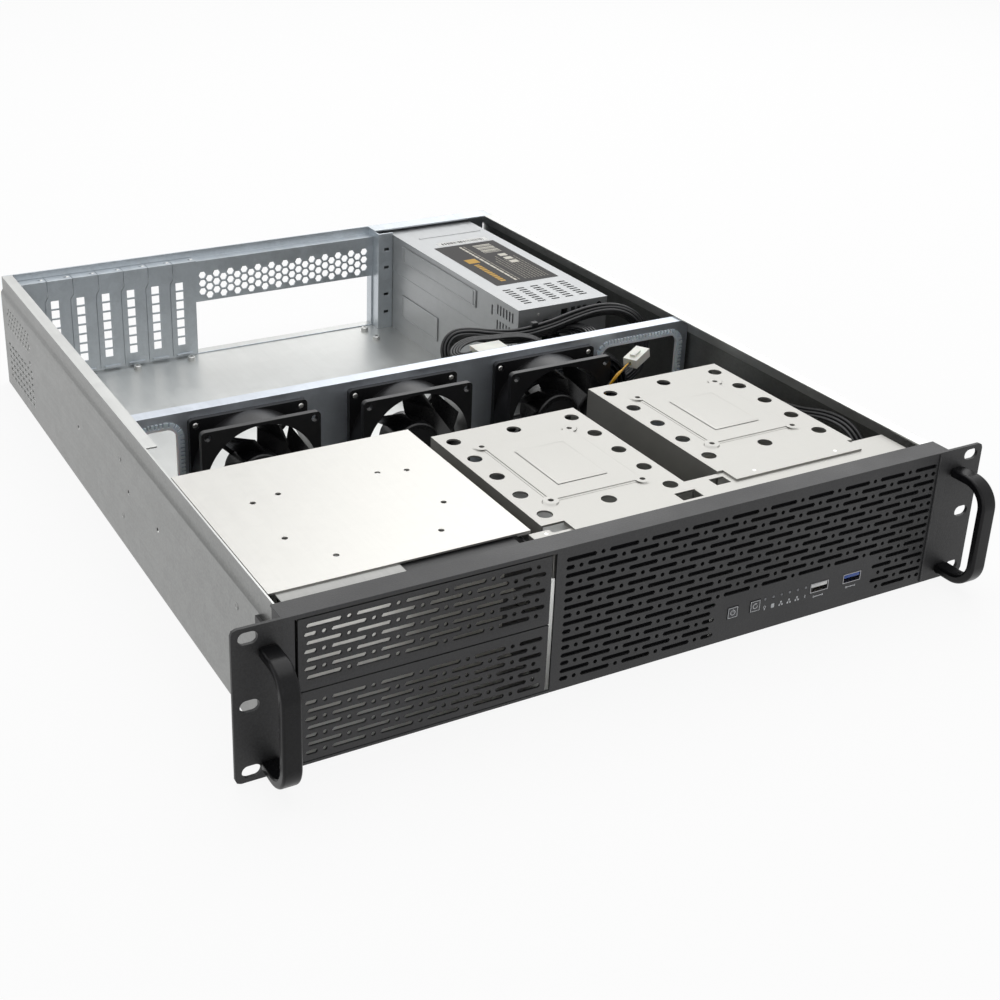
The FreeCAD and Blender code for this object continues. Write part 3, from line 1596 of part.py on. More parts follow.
make_chassis_tray()
make_front_bezel()
make_blanks()
make_ears_and_handles()
make_controls()
make_bay_cage()
make_drive_cage("drive_cage_middle", d.middle_cage_x, d.middle_cage_rear, d.cage_width / 2 - 14.5, 12.0, 31.0)
make_drive_cage("drive_cage_right", d.right_cage_x, d.right_cage_rear, d.cage_width / 2 - 4, d.cage_tongue_front, d.cage_side_front)
make_front_crossbar()
make_cage_screws()
make_fan_wall()
make_edge_trims()
for fan_number in range(3):
    make_fan(fan_number)
make_fan_screws()
make_rear_panel()
make_pci_covers()
make_pci_screws()
make_rear_post()
make_psu_case()
make_psu_cover()
make_psu_inside()
make_psu_fan()
make_psu_inlet()
make_board_studs()
make_cables()

doc.recompute()
for item in doc.Objects:
    if "Invalid" in item.State or "Error" in item.State:
        raise RuntimeError("%s did not build: %s" % (item.Name, item.State))
labels = [piece.Label for piece in finished]
if len(set(labels)) != len(labels):
    raise RuntimeError("two pieces share a name")
for piece in finished:
    if piece.Shape.isNull() or not piece.Shape.isValid():
        raise RuntimeError("%s has no valid shape" % piece.Label)

os.makedirs("parts", exist_ok=True)
for piece in finished:
    piece.Shape.exportStep(os.path.join("parts", piece.Label + ".step"))
print("%d pieces written" % len(finished))
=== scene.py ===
import json
import math
import random

import bpy
from mathutils import Matrix, Vector


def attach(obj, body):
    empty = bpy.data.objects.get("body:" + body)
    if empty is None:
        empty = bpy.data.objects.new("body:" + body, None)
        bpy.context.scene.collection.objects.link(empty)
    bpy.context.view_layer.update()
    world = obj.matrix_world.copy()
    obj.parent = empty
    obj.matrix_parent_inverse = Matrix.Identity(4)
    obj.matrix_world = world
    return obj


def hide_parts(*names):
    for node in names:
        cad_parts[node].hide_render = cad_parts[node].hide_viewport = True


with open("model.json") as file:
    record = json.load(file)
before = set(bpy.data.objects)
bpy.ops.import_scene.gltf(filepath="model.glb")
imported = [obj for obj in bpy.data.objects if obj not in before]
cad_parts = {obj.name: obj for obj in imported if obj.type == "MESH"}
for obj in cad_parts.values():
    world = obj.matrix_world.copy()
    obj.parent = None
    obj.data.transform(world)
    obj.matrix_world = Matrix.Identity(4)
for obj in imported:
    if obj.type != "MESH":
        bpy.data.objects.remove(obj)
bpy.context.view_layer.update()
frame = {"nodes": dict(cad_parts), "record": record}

bl_info = {
    "name": "Rackmount server case",
    "version": (1, 0, 0),
    "blender": (4, 5, 0),
    "location": "View3D > Sidebar > Server case",
    "description": "Dresses an empty two unit server case: steel, coats, leads, screws and stage",
    "category": "Object",
}

MM = 0.001
RACK_PLANE = -260.5  # where the rack plane lies along Y, in millimetres


def at(x, y, z):
    """A place given in millimetres, with Y counted from the rack plane."""
    return Vector((x * MM, (y + RACK_PLANE) * MM, z * MM))


def linear(code):
    """An sRGB hex value as linear red, green, blue and alpha."""
    parts = [int(code[i : i + 2], 16) / 255 for i in (1, 3, 5)]
    return [p / 12.92 if p <= 0.04045 else ((p + 0.055) / 1.055) ** 2.4 for p in parts] + [1.0]


# Sizes and colours that a user may change


def length(name, text, default, low=0.0001, high=1.0):
    """A size in metres for the panel."""
    return bpy.props.FloatProperty(
        name=name, description=text, default=default, min=low, max=high, unit="LENGTH", precision=5
    )


def colour(name, text, code):
    """A colour for the panel, from its sRGB hex value."""
    return bpy.props.FloatVectorProperty(
        name=name, description=text, default=linear(code)[:3], size=3, min=0, max=1, subtype="COLOR"
    )


class CaseSizes(bpy.types.PropertyGroup):
    """Sizes of the new pieces"""

    dot: length("Vent dot", "Width of the round holes between the front slots", 0.0026)
    fan_lead: length("Fan lead", "Width of the twisted fan wires together", 0.0024)
    panel_lead: length("Panel lead", "Width of the lead of the front controls", 0.004)
    screw_head: length("Screw head", "Radius of the bright pan heads", 0.0034)
    floor_side: length("Floor", "Side of the square floor", 12.0, 1.0, 40.0)


class CaseColours(bpy.types.PropertyGroup):
    """Colours of the main finishes"""

    zinc: colour("Zinc", "Galvanised steel of the tray", "#CBCCCA")
    panel: colour("Panel", "Galvanised steel of the rear panel", "#C6CCD1")
    cage: colour("Cage", "Bright zinc of the bay cage", "#C5C4C0")
    drive: colour("Drive cage", "Bright zinc of the two drive cages", "#A9A8A4")
    supply: colour("Supply", "Steel of the power supply", "#B0B2B3")
    coat: colour("Black coat", "Powder coat of the front", "#1F1F20")
    handle: colour("Handle", "Satin black of the bow handles", "#0D0D0F")
    fan: colour("Fan", "Black moulded plastic of the fans", "#18181A")
    sheath: colour("Sheath", "Black sheath of the leads", "#17181A")
    nylon: colour("Nylon", "Clear nylon of the edge trims", "#FAFCFF")
    plug: colour("Plug", "Natural nylon of the white plugs", "#EFEDE4")
    floor: colour("Floor", "Pale floor and backdrop", "#FFFFFF")


def sizes():
    return bpy.context.scene.case_sizes


def colours():
    return bpy.context.scene.case_colours


# Modelling by operators


def clear():
    """Back to object mode with nothing selected."""
    if bpy.context.object and bpy.context.object.mode != "OBJECT":
        bpy.ops.object.mode_set(mode="OBJECT")
    bpy.ops.object.select_all(action="DESELECT")


def pick(*pieces):
    """Selects these pieces alone and makes the first one active."""
    clear()
    for piece in pieces:
        piece.select_set(True)
    bpy.context.view_layer.objects.active = pieces[0]
    return pieces[0]


def named(name):
    """The new primitive, with its place moved into its mesh."""
    piece = bpy.context.object
    piece.name = name
    piece.data.name = name
    pick(piece)
    bpy.ops.object.transform_apply(location=True, rotation=True, scale=True)
    return piece


def block(name, x, y, z):
    """A block between two values on each axis, in millimetres from the rack plane."""
    clear()
    low, high = at(x[0], y[0], z[0]), at(x[1], y[1], z[1])
    bpy.ops.mesh.primitive_cube_add(size=1, location=(low + high) / 2)
    bpy.context.object.scale = high - low
    return named(name)


TURNS = {"X": (0, math.pi / 2, 0), "Y": (-math.pi / 2, 0, 0), "Z": (0, 0, 0)}


def rod(name, axis, start, radius, depth, sides=32):
    """A round bar from the middle of its first end, in millimetres from the rack plane."""
    clear()
    along = Vector([float(letter == axis) for letter in "XYZ"])
    place = at(*start) + along * depth * MM / 2
    bpy.ops.mesh.primitive_cylinder_add(
        vertices=sides, radius=radius * MM, depth=abs(depth) * MM, location=place, rotation=TURNS[axis]
    )
    return named(name)


def modify(piece, kind, **settings):
    """Adds a modifier with its settings and applies it."""
    pick(piece)
    modifier = piece.modifiers.new(kind, kind)
    for key, value in settings.items():
        setattr(modifier, key, value)
    bpy.ops.object.modifier_apply(modifier=modifier.name)
    return piece


def round_edges(piece, width, segments=2, angle=35):
    """Rounds the edges sharper than the angle, by a width in millimetres."""
    return modify(
        piece, "BEVEL", width=width * MM, segments=segments, limit_method="ANGLE", angle_limit=math.radians(angle)
    )


def smooth(piece, angle=32):
    """Smooth shading, apart from edges sharper than the angle."""
    pick(piece)
    bpy.ops.object.shade_smooth_by_angle(angle=math.radians(angle))
    return piece


def choose_faces(piece, test):
    """Selects the faces whose middle and normal pass the test, ready for edit mode."""
    pick(piece)
    mesh = piece.data
    for part in list(mesh.vertices) + list(mesh.edges):
        part.select = False
    for face in mesh.polygons:
        face.select = bool(test(face.center, face.normal))
    bpy.ops.object.mode_set(mode="EDIT")
    bpy.ops.mesh.select_mode(type="FACE")


def choose_all(piece):
    """Opens a piece in edit mode with all of it selected."""
    pick(piece)
    bpy.ops.object.mode_set(mode="EDIT")
    bpy.ops.mesh.select_all(action="SELECT")


def done():
    bpy.ops.object.mode_set(mode="OBJECT")


def choose_corners(piece, test):
    """Selects the vertices whose place passes the test, ready for edit mode."""
    pick(piece)
    mesh = piece.data
    for part in list(mesh.edges) + list(mesh.polygons):
        part.select = False
    for corner in mesh.vertices:
        corner.select = bool(test(corner))
    bpy.context.tool_settings.mesh_select_mode = (True, False, False)
    bpy.ops.object.mode_set(mode="EDIT")


def facing(axis, sign=1):
    """A test for faces that look along an axis."""
    i = "XYZ".index(axis)
    return lambda centre, normal: normal[i] * sign > 0.9


STEEP = 0.0001  # inset in millimetres that leaves the wall of a recess nearly upright
WELD = 0.002  # corners of a CAD node this near in millimetres are one corner


def recess(piece, test, rim, depth):
    """Insets the chosen faces by the rim and pushes them in or out."""
    choose_faces(piece, test)
    bpy.ops.mesh.inset(thickness=rim * MM, depth=0)
    if depth:
        bpy.ops.mesh.inset(thickness=STEEP * MM, depth=depth * MM)
    done()
    return piece


def join(name, pieces):
    """One piece out of several, under a new name."""
    pick(*pieces)
    if len(pieces) > 1:
        bpy.ops.object.join()
    piece = bpy.context.object
    piece.name = name
    piece.data.name = name
    return piece


def subtract(piece, tool):
    """Cuts the tool out of the piece and removes the tool."""
    modify(piece, "BOOLEAN", operation="DIFFERENCE", solver="EXACT", object=tool)
    bpy.data.objects.remove(tool, do_unlink=True)
    return piece


def merged_copy(node, name):
    """A welded copy of a CAD node, so that its edges can be cut and rounded."""
    pick(frame["nodes"][node])
    bpy.ops.object.duplicate(linked=False)
    piece = bpy.context.object
    for key in list(piece.keys()):
        del piece[key]
    piece.parent = None
    piece.name = name
    piece.data.name = name
    bpy.ops.object.mode_set(mode="EDIT")
    bpy.ops.mesh.select_all(action="SELECT")
    bpy.ops.mesh.remove_doubles(threshold=WELD * MM)
    bpy.ops.mesh.normals_make_consistent(inside=False)
    bpy.ops.mesh.select_all(action="DESELECT")
    bpy.ops.object.mode_set(mode="OBJECT")
    return piece


def finished(piece, material, slot, body, *stands_for):
    """Gives a piece its finish and lets it ride on its body; the slot is not used."""
    if material is not None:
        piece.data.materials.clear()
        piece.data.materials.append(material)
    if stands_for:
        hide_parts(*stands_for)
    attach(piece, body)
    return piece


# Finishes


def add(tree, kind, links=None, **settings):
    """Adds a node, with settings on it, values on its inputs and links into them."""
    node = tree.nodes.new(kind)
    for key, value in settings.items():
        setattr(node, key, value)
    for key, source in (links or {}).items():
        if isinstance(source, bpy.types.NodeSocket):
            tree.links.new(source, node.inputs[key])
        else:
            node.inputs[key].default_value = source
    return node


def start(name):
    """An empty material with its tree, and the piece's own coordinates."""
    material = bpy.data.materials.new(name)
    material.use_nodes = True
    tree = material.node_tree
    tree.nodes.clear()
    place = add(tree, "ShaderNodeTexCoord").outputs["Object"]
    return material, tree, place


def close(tree, links):
    """Ends a tree in one principled shader with these inputs."""
    shader = add(tree, "ShaderNodeBsdfPrincipled", links)
    add(tree, "ShaderNodeOutputMaterial", {"Surface": shader.outputs[0]})
    return shader


def per_mm(size):
    """A pattern's scale on metre coordinates, from its spacing in millimetres."""
    return 1000.0 / size


def shade(colour_value, amount):
    """The same colour, lighter or darker."""
    return [max(0.0, min(1.0, c * amount)) for c in list(colour_value)[:3]] + [1.0]


def mixed(tree, factor, first, second):
    """Two colours mixed by a factor."""
    node = add(tree, "ShaderNodeMix", {0: factor, 6: first, 7: second}, data_type="RGBA")
    return node.outputs[2]


def ramp(tree, source, low, high, low_value, high_value):
    """A value brought from one range to another and held inside it."""
    links = {"Value": source, "From Min": low, "From Max": high, "To Min": low_value, "To Max": high_value}
    return add(tree, "ShaderNodeMapRange", links).outputs[0]


def zinc_steel(name, tint, spangle=9.0, metal=0.85, rough=0.36, contrast=0.1, wall=0.0, painted_shade_tone=0.6):
    """Hot dip galvanised sheet: cold grey, flat zinc crystals and faint rolling lines; given a wall, painted shade on
    the outside of the side walls.
    """
    material, tree, place = start(name)
    # crystals of about a centimetre, whose tone differs a little
    links = {"Vector": place, "Scale": per_mm(spangle), "Randomness": 1.0}
    crystals = add(tree, "ShaderNodeTexVoronoi", links, feature="F1", voronoi_dimensions="3D")
    tone = add(tree, "ShaderNodeSeparateColor", {0: crystals.outputs["Color"]}).outputs[0]
    # rolling lines, drawn 2.2 mm apart so that they show, as streaks along the depth
    run = add(tree, "ShaderNodeMapping", {"Vector": place, "Scale": (1, 0.02, 1)}).outputs[0]
    links = {"Vector": run, "Scale": per_mm(2.2), "Detail": 3.0, "Roughness": 0.6}
    streaks = add(tree, "ShaderNodeTexNoise", links).outputs["Fac"]
    # handling marks some centimetres wide
    links = {"Vector": place, "Scale": per_mm(60), "Detail": 4.0, "Roughness": 0.55}
    cloud = add(tree, "ShaderNodeTexNoise", links).outputs["Fac"]
    soft = add(tree, "ShaderNodeMath", {0: tone, 1: 0.35}, operation="MULTIPLY").outputs[0]
    both = add(tree, "ShaderNodeMath", {0: soft, 1: streaks}, operation="ADD").outputs[0]
    factor = ramp(tree, both, 0.3, 1.05, 0.0, 1.0)
    base = mixed(tree, factor, shade(tint, 1 - contrast), shade(tint, 1 + contrast))
    base = mixed(tree, ramp(tree, cloud, 0.35, 0.75, 0.0, 0.22), base, shade(tint, 1 - contrast * 1.5))
    if wall:
        # painted shade: the outside of the side walls is painted darker, apart from the faces that look up and take the
        # top light
        across = add(tree, "ShaderNodeSeparateXYZ", {0: place}).outputs[0]
        away = add(tree, "ShaderNodeMath", {0: across}, operation="ABSOLUTE").outputs[0]
        outside = ramp(tree, away, wall - 0.0024, wall - 0.0021, 0.0, 1.0)
        normal = add(tree, "ShaderNodeNewGeometry").outputs["Normal"]
        rise = add(tree, "ShaderNodeSeparateXYZ", {0: normal}).outputs[2]
        level = ramp(tree, rise, 0.35, 0.5, 1.0, 0.0)
        painted_wall_shade = add(tree, "ShaderNodeMath", {0: outside, 1: level}, operation="MULTIPLY").outputs[0]
        # rub marks of a millimetre and a half, in the darker tones of the painted shade
        links = {"Vector": place, "Scale": per_mm(1.5), "Detail": 2.0, "Roughness": 0.6}
        grain = ramp(tree, add(tree, "ShaderNodeTexNoise", links).outputs["Fac"], 0.35, 0.65, 0.0, 1.0)
        rub_marks_in_painted_shade = mixed(tree, grain, shade(tint, painted_shade_tone * 0.92), shade(tint, painted_shade_tone * 1.08))
        base = mixed(tree, painted_wall_shade, base, rub_marks_in_painted_shade)
    roughness = ramp(tree, both, 0.3, 1.05, rough - 0.03, rough + 0.05)
    links = {"Height": streaks, "Strength": 0.06, "Distance": 0.0002}
    bump = add(tree, "ShaderNodeBump", links).outputs[0]
    close(tree, {"Base Color": base, "Metallic": metal, "Roughness": roughness, "Normal": bump})
    return material


def powder_coat(name, tint, grain=0.9, rough=0.52, depth=0.25, shine=0.5):
    """Baked powder coat: nearly black, a fine orange peel that breaks up the highlights."""
    material, tree, place = start(name)
    links = {"Vector": place, "Scale": per_mm(grain), "Detail": 2.0, "Roughness": 0.5}
    peel = add(tree, "ShaderNodeTexNoise", links).outputs["Fac"]
    links = {"Vector": place, "Scale": per_mm(45), "Detail": 3.0}
    cloud = add(tree, "ShaderNodeTexNoise", links).outputs["Fac"]
    base = mixed(tree, ramp(tree, peel, 0.35, 0.65, 0, 1), shade(tint, 0.6), shade(tint, 1.45))
    base = mixed(tree, ramp(tree, cloud, 0.4, 0.7, 0, 0.3), base, shade(tint, 1.35))
    # painted highlight on sharp edges, where the coat is also thin: their colour is lighter there
    edge = add(tree, "ShaderNodeNewGeometry").outputs["Pointiness"]
    base = mixed(tree, ramp(tree, edge, 0.53, 0.62, 0, 0.35), base, shade(tint, 2.6))
    roughness = ramp(tree, cloud, 0.3, 0.7, rough - 0.05, rough + 0.06)
    bump = add(tree, "ShaderNodeBump", {"Height": peel, "Strength": depth, "Distance": 0.0003}).outputs[0]
    links = {"Base Color": base, "Roughness": roughness, "IOR": 1.5, "Specular IOR Level": shine, "Normal": bump}
    close(tree, links)
    return material


def moulded_plastic(name, tint, grain=0.6, rough=0.42, depth=0.1, ior=1.52, shine=0.5, **more):
    """Moulded plastic: even colour with a faint spark-eroded texture and flow clouds."""
    material, tree, place = start(name)
    links = {"Vector": place, "Scale": per_mm(grain), "Detail": 2.0}
    erosion = add(tree, "ShaderNodeTexNoise", links).outputs["Fac"]
    links = {"Vector": place, "Scale": per_mm(18), "Detail": 2.0}
    flow = add(tree, "ShaderNodeTexNoise", links).outputs["Fac"]
    base = mixed(tree, ramp(tree, flow, 0.35, 0.7, 0, 1), shade(tint, 0.88), shade(tint, 1.12))
    roughness = ramp(tree, erosion, 0.3, 0.7, rough - 0.05, rough + 0.07)
    bump = add(tree, "ShaderNodeBump", {"Height": erosion, "Strength": depth, "Distance": 0.0002}).outputs[0]
    links = {"Base Color": base, "Roughness": roughness, "IOR": ior, "Specular IOR Level": shine, "Normal": bump}
    close(tree, {**links, **more})
    return material


def plated(name, tint, rough=0.22, grain=0.5):
    """Plated steel: a mirror-like metal with light turning marks."""
    material, tree, place = start(name)
    links = {"Vector": place, "Scale": per_mm(grain), "Detail": 3.0}
    marks = add(tree, "ShaderNodeTexNoise", links).outputs["Fac"]
    base = mixed(tree, marks, shade(tint, 0.85), shade(tint, 1.1))
    roughness = ramp(tree, marks, 0.3, 0.7, rough - 0.05, rough + 0.12)
    bump = add(tree, "ShaderNodeBump", {"Height": marks, "Strength": 0.05, "Distance": 0.0001}).outputs[0]
    close(tree, {"Base Color": base, "Metallic": 1.0, "Roughness": roughness, "Normal": bump})
    return material


def laminate(name):
    """Glass-fibre board: green solder mask over a woven cloth of half a millimetre."""
    material, tree, place = start(name)
    links = {"Vector": place, "Scale": per_mm(1.0) / 6.28}
    weave = add(tree, "ShaderNodeTexWave", links, wave_type="BANDS", bands_direction="X").outputs["Fac"]
    tracks = add(tree, "ShaderNodeTexBrick", {"Vector": place, "Scale": per_mm(14)}).outputs["Fac"]
    base = mixed(tree, weave, linear("#14402A"), linear("#1B5236"))
    base = mixed(tree, tracks, base, linear("#2C7048"))
    close(tree, {"Base Color": base, "Roughness": 0.3, "IOR": 1.55, "Coat Weight": 0.3})
    return material


def printed_film(name, tint, rough=0.55, shine=0.25):
    """Printed polyester film: matt ink, even, with the faint cloud of the print."""
    material, tree, place = start(name)
    grain = add(tree, "ShaderNodeTexNoise", {"Vector": place, "Scale": per_mm(2.5), "Detail": 2.0}).outputs["Fac"]
    base = mixed(tree, grain, shade(tint, 0.93), shade(tint, 1.07))
    close(tree, {"Base Color": base, "Roughness": rough, "IOR": 1.5, "Specular IOR Level": shine})
    return material


def seen_directly(tree):
    """One for the camera, for reflections and for what shows through glass, and none for the light."""
    rays = add(tree, "ShaderNodeLightPath").outputs
    links = {0: rays["Is Camera Ray"], 1: rays["Is Glossy Ray"]}
    seen = add(tree, "ShaderNodeMath", links, operation="MAXIMUM").outputs[0]
    links = {0: seen, 1: rays["Is Transmission Ray"]}
    return add(tree, "ShaderNodeMath", links, operation="MAXIMUM").outputs[0]


def pale_stage(name, tint, strength):
    """Pale paper sweep: keeps the shadow for the object and reads as white behind it."""
    material, tree, place = start(name)
    paper = add(tree, "ShaderNodeTexNoise", {"Vector": place, "Scale": per_mm(4), "Detail": 2.0}).outputs["Fac"]
    base = mixed(tree, paper, shade(tint, 0.99), shade(tint, 1.0))
    shader = add(tree, "ShaderNodeBsdfPrincipled", {"Base Color": base, "Roughness": 0.9, "IOR": 1.3})
    glow = add(tree, "ShaderNodeEmission", {"Color": shade(tint, 1), "Strength": strength}).outputs[0]
    share = add(tree, "ShaderNodeMath", {0: seen_directly(tree), 1: 0.9}, operation="MULTIPLY").outputs[0]
    both = add(tree, "ShaderNodeMixShader", {0: share, 1: shader.outputs[0], 2: glow}).outputs[0]
    add(tree, "ShaderNodeOutputMaterial", {"Surface": both})
    return material


FINISHES = {}  # every finish under the short key by which pieces ask for it


def make_finishes():
    """Makes every finish, from the colours in the panel or from its own."""
    c = colours()
    FINISHES.update(
        # the tray's side walls are painted darker outside as painted shade, apart from the faces that look up
        tray_steel=zinc_steel("galvanised_sheet", c.zinc, rough=0.35, wall=0.215, painted_shade_tone=0.42, contrast=0.04),
        wall_steel=zinc_steel("galvanised_fan_wall", linear("#C2C8D0"), contrast=0.06),
        cover_steel=zinc_steel("galvanised_panel", c.panel, contrast=0.08),
        cage_steel=zinc_steel("bright_zinc_sheet", c.cage, spangle=5.0, metal=0.75, rough=0.4, contrast=0.035),
        # bare front strip of the bay, its colour darkened by painted shade under the bay's cover
        strip_steel=zinc_steel("bare_strip_sheet_painted_shade", linear("#8D8D8B"), spangle=5.0, rough=0.45),
        drive_steel=zinc_steel("drive_cage_sheet", c.drive, spangle=5.0, metal=0.8, rough=0.42, contrast=0.035),
        supply_steel=zinc_steel("supply_sheet", c.supply, spangle=6.0, metal=0.6, contrast=0.06),
        black_coat=powder_coat("black_powder_coat", c.coat),
        black_handle=powder_coat("satin_black_handle", c.handle, grain=1.4, rough=0.3, depth=0.06, shine=0.22),
        fan_plastic=moulded_plastic("black_fan_plastic", c.fan, rough=0.36, shine=0.4),
        rotor_plastic=moulded_plastic("black_blade_plastic", c.fan, rough=0.3, depth=0.05),
        bright_screw=plated("nickel_plated_steel", linear("#EDECE9"), rough=0.3),
        black_screw=plated("black_oxide_steel", linear("#2B2B2D"), rough=0.4),
        trim_nylon=moulded_plastic("clear_nylon", c.nylon, rough=0.35, **{"Subsurface Weight": 0.3}),
        board_laminate=laminate("glass_fibre_board"),
        button_plastic=moulded_plastic("black_button_plastic", linear("#2C2D31"), rough=0.4),
        lamp_plastic=moulded_plastic(
            "clear_lamp_plastic", linear("#8F9196"), rough=0.2, ior=1.58, **{"Transmission Weight": 0.3}
        ),
        socket_steel=plated("tin_plated_steel", linear("#A6A6A8"), rough=0.3),
        tongue_plastic=moulded_plastic("blue_socket_plastic", linear("#2F55A8"), rough=0.35),
        white_tongue=moulded_plastic("white_socket_plastic", linear("#F0F0EE"), rough=0.35),
        inlet_plastic=moulded_plastic("black_inlet_plastic", linear("#1A1A1B"), rough=0.38),
        lead_sheath=moulded_plastic("black_lead_sheath", c.sheath, grain=1.2, rough=0.38, depth=0.3),
        white_plug=moulded_plastic("natural_nylon", c.plug, rough=0.4, **{"Subsurface Weight": 0.1}),
        black_plug=moulded_plastic("black_nylon", linear("#1D1D1F"), rough=0.4),
        yellow_wire=moulded_plastic("yellow_wire_sheath", linear("#E0A818"), rough=0.35),
        black_wire=moulded_plastic("black_wire_sheath", linear("#19191B"), rough=0.35),
        label_black=printed_film("black_label_film", linear("#141110")),
        label_gold=printed_film("gold_label_ink", linear("#C59A3C")),
        label_pale=printed_film("pale_label_ink", linear("#D8D4C8")),
        label_grey=printed_film("grey_label_ink", linear("#8B877C")),
        sticker_white=printed_film("white_paper_sticker", linear("#E9E9E6"), shine=0.4),
        hub_film=printed_film("dark_hub_film", linear("#2A2A2C"), rough=0.4),
        pale_ink=printed_film("pale_grey_ink", linear("#E4E6E8")),
        filter_foam=moulded_plastic(
            "black_filter_foam", linear("#101012"), grain=1.6, rough=0.95, depth=0.8, shine=0.1
        ),
        copper=plated("tinned_copper", linear("#C9A46A"), rough=0.3),
    )


NODE_FINISH = {
    "tray_steel": ["chassis_tray", "board_studs"],
    "wall_steel": ["fan_wall"],
    "cover_steel": ["rear_panel", "rear_post"] + ["pci_cover_%d" % i for i in range(1, 8)],
    "cage_steel": ["bay_cage", "bay_cage_cover"],
    "drive_steel": ["drive_cage_middle", "drive_cage_right", "front_crossbar"],
    "supply_steel": ["psu_case", "psu_cover", "psu_fan_guard"],
    "black_coat": ["front_bezel", "bay_blank_lower", "bay_blank_upper", "rack_ear_left", "rack_ear_right"],
    "black_handle": ["handle_left", "handle_right"],
    "fan_plastic": ["fan_frame_1", "fan_frame_2", "fan_frame_3", "psu_fan_frame"],
    "rotor_plastic": ["fan_rotor_1", "fan_rotor_2", "fan_rotor_3", "psu_fan_rotor"],
    "bright_screw": ["fan_screws", "pci_screws", "cage_screws"],
    "black_screw": ["handle_screws"],
    "trim_nylon": ["edge_trim_left", "edge_trim_right"],
    "board_laminate": ["control_board", "psu_board"],
    "button_plastic": ["power_button", "reset_button"],
    "lamp_plastic": ["lamp_lenses"],
    "socket_steel": ["socket_slow", "socket_fast"],
    "tongue_plastic": ["socket_tongues"],
    "inlet_plastic": ["psu_inlet"],
    "lead_sheath": [
        "psu_lead_upper", "psu_lead_lower", "psu_lead_root", "psu_lead_hank", "fan_lead", "panel_lead", "cable_tie",
    ],
    "white_plug": ["psu_lead_plug", "fan_plug"],
    "black_plug": ["panel_plug"],
}


class CASE_OT_finishes(bpy.types.Operator):
    """Makes the metals, coats, plastics and inks, and gives each CAD node its own"""

    bl_idname = "case.finishes"
    bl_label = "Finishes"

    def execute(self, context):
        make_finishes()
        for finish, nodes in NODE_FINISH.items():
            for node in nodes:
                mesh = frame["nodes"][node].data
                mesh.materials.clear()
                mesh.materials.append(FINISHES[finish])
        return {"FINISHED"}


def body_of(node):
    """The body on which a CAD node rides."""
    for body, members in frame["record"]["behaviour"]["bodies"].items():
        if node in members:
            return body
    raise ValueError("no body holds " + node)


# Stage, camera and light

CAMERA_PLACE = (-454.15, -576.26, 473.37)  # millimetres, Y from the rack plane
CAMERA_TURN = -27.53  # degrees about Z
CAMERA_RISE = 23.58  # degrees above the horizon
CAMERA_ROLL = 0.88
CAMERA_LENS = 55.01  # millimetres on a 36 mm sensor
CAMERA_SHIFT = (0.1, -0.1)


def make_camera():
    """The camera at the photograph's viewing angle."""
    clear()
    bpy.ops.object.camera_add(location=at(*CAMERA_PLACE))
    camera = bpy.context.object
    camera.name = "case_camera"
    turn, rise, roll = (math.radians(v) for v in (CAMERA_TURN, CAMERA_RISE, CAMERA_ROLL))
    back = Vector((math.sin(turn) * math.cos(rise), -math.cos(turn) * math.cos(rise), math.sin(rise)))
    right = (-back).cross(Vector((0, 0, 1))).normalized()
    up = right.cross(-back)
    side = right * math.cos(roll) + up * math.sin(roll)
    top = -right * math.sin(roll) + up * math.cos(roll)
    camera.rotation_mode = "QUATERNION"
    camera.rotation_quaternion = Matrix((side, top, back)).transposed().to_quaternion()
    camera.data.sensor_width = 36
    camera.data.lens = CAMERA_LENS
    camera.data.shift_x, camera.data.shift_y = CAMERA_SHIFT
    camera.data.clip_start = 0.01
    camera.data.clip_end = 60
    bpy.context.scene.camera = camera


def area_lamp(name, place, target, side, watts):
    """A rectangular lamp that looks from its place at its target."""
    clear()
    bpy.ops.object.light_add(type="AREA", location=place)
    lamp = bpy.context.object
    lamp.name = name
    lamp.data.shape = "RECTANGLE"
    lamp.data.size, lamp.data.size_y = side
    lamp.data.energy = watts
    aim = Vector(target) - Vector(place)
    lamp.rotation_mode = "QUATERNION"
    lamp.rotation_quaternion = aim.to_track_quat("-Z", "Y")


def make_world():
    """Soft light on the object, and white behind it and in its reflections."""
    world = bpy.data.worlds.new("studio")
    bpy.context.scene.world = world
    world.use_nodes = True
    tree = world.node_tree
    tree.nodes.clear()
    seen = seen_directly(tree)
    white = add(tree, "ShaderNodeBackground", {"Color": (1, 1, 1, 1), "Strength": 1.0}).outputs[0]
    soft = add(tree, "ShaderNodeBackground", {"Color": linear("#F2F3F4"), "Strength": 0.3}).outputs[0]
    both = add(tree, "ShaderNodeMixShader", {0: seen, 1: soft, 2: white}).outputs[0]
    add(tree, "ShaderNodeOutputWorld", {"Surface": both})


# name, place and target in metres, sides in metres, watts
LAMPS = [
    ("top_lamp", (0.35, 0.5, 2.2), (0, 0, 0), (2.6, 2.6), 34),
    ("rear_lamp", (1.4, 1.5, 1.4), (0, 0.05, 0), (1.6, 1.2), 9),
    ("front_lamp", (-0.5, -2.4, 0.9), (0, 0, 0.02), (1.6, 1.0), 3),
]
FLOOR_DROP = 0.0002  # metres under the case, so that floor and underside aren't in one plane


class CASE_OT_stage(bpy.types.Operator):
    """Adds the pale floor, the soft lamps, the world and the camera"""

    bl_idname = "case.stage"
    bl_label = "Stage, lamps and camera"

    def execute(self, context):
        make_camera()
        make_world()
        for lamp in LAMPS:
            area_lamp(*lamp)
        clear()
        bpy.ops.mesh.primitive_plane_add(size=sizes().floor_side, location=(0, 0, -FLOOR_DROP))
        floor = named("studio_floor")
        choose_all(floor)
        bpy.ops.mesh.subdivide(number_cuts=6)
        done()
        floor.data.materials.append(pale_stage("pale_floor", colours().floor, 1.0))
        return {"FINISHED"}


# Leads: routes in millimetres, Y from the rack plane

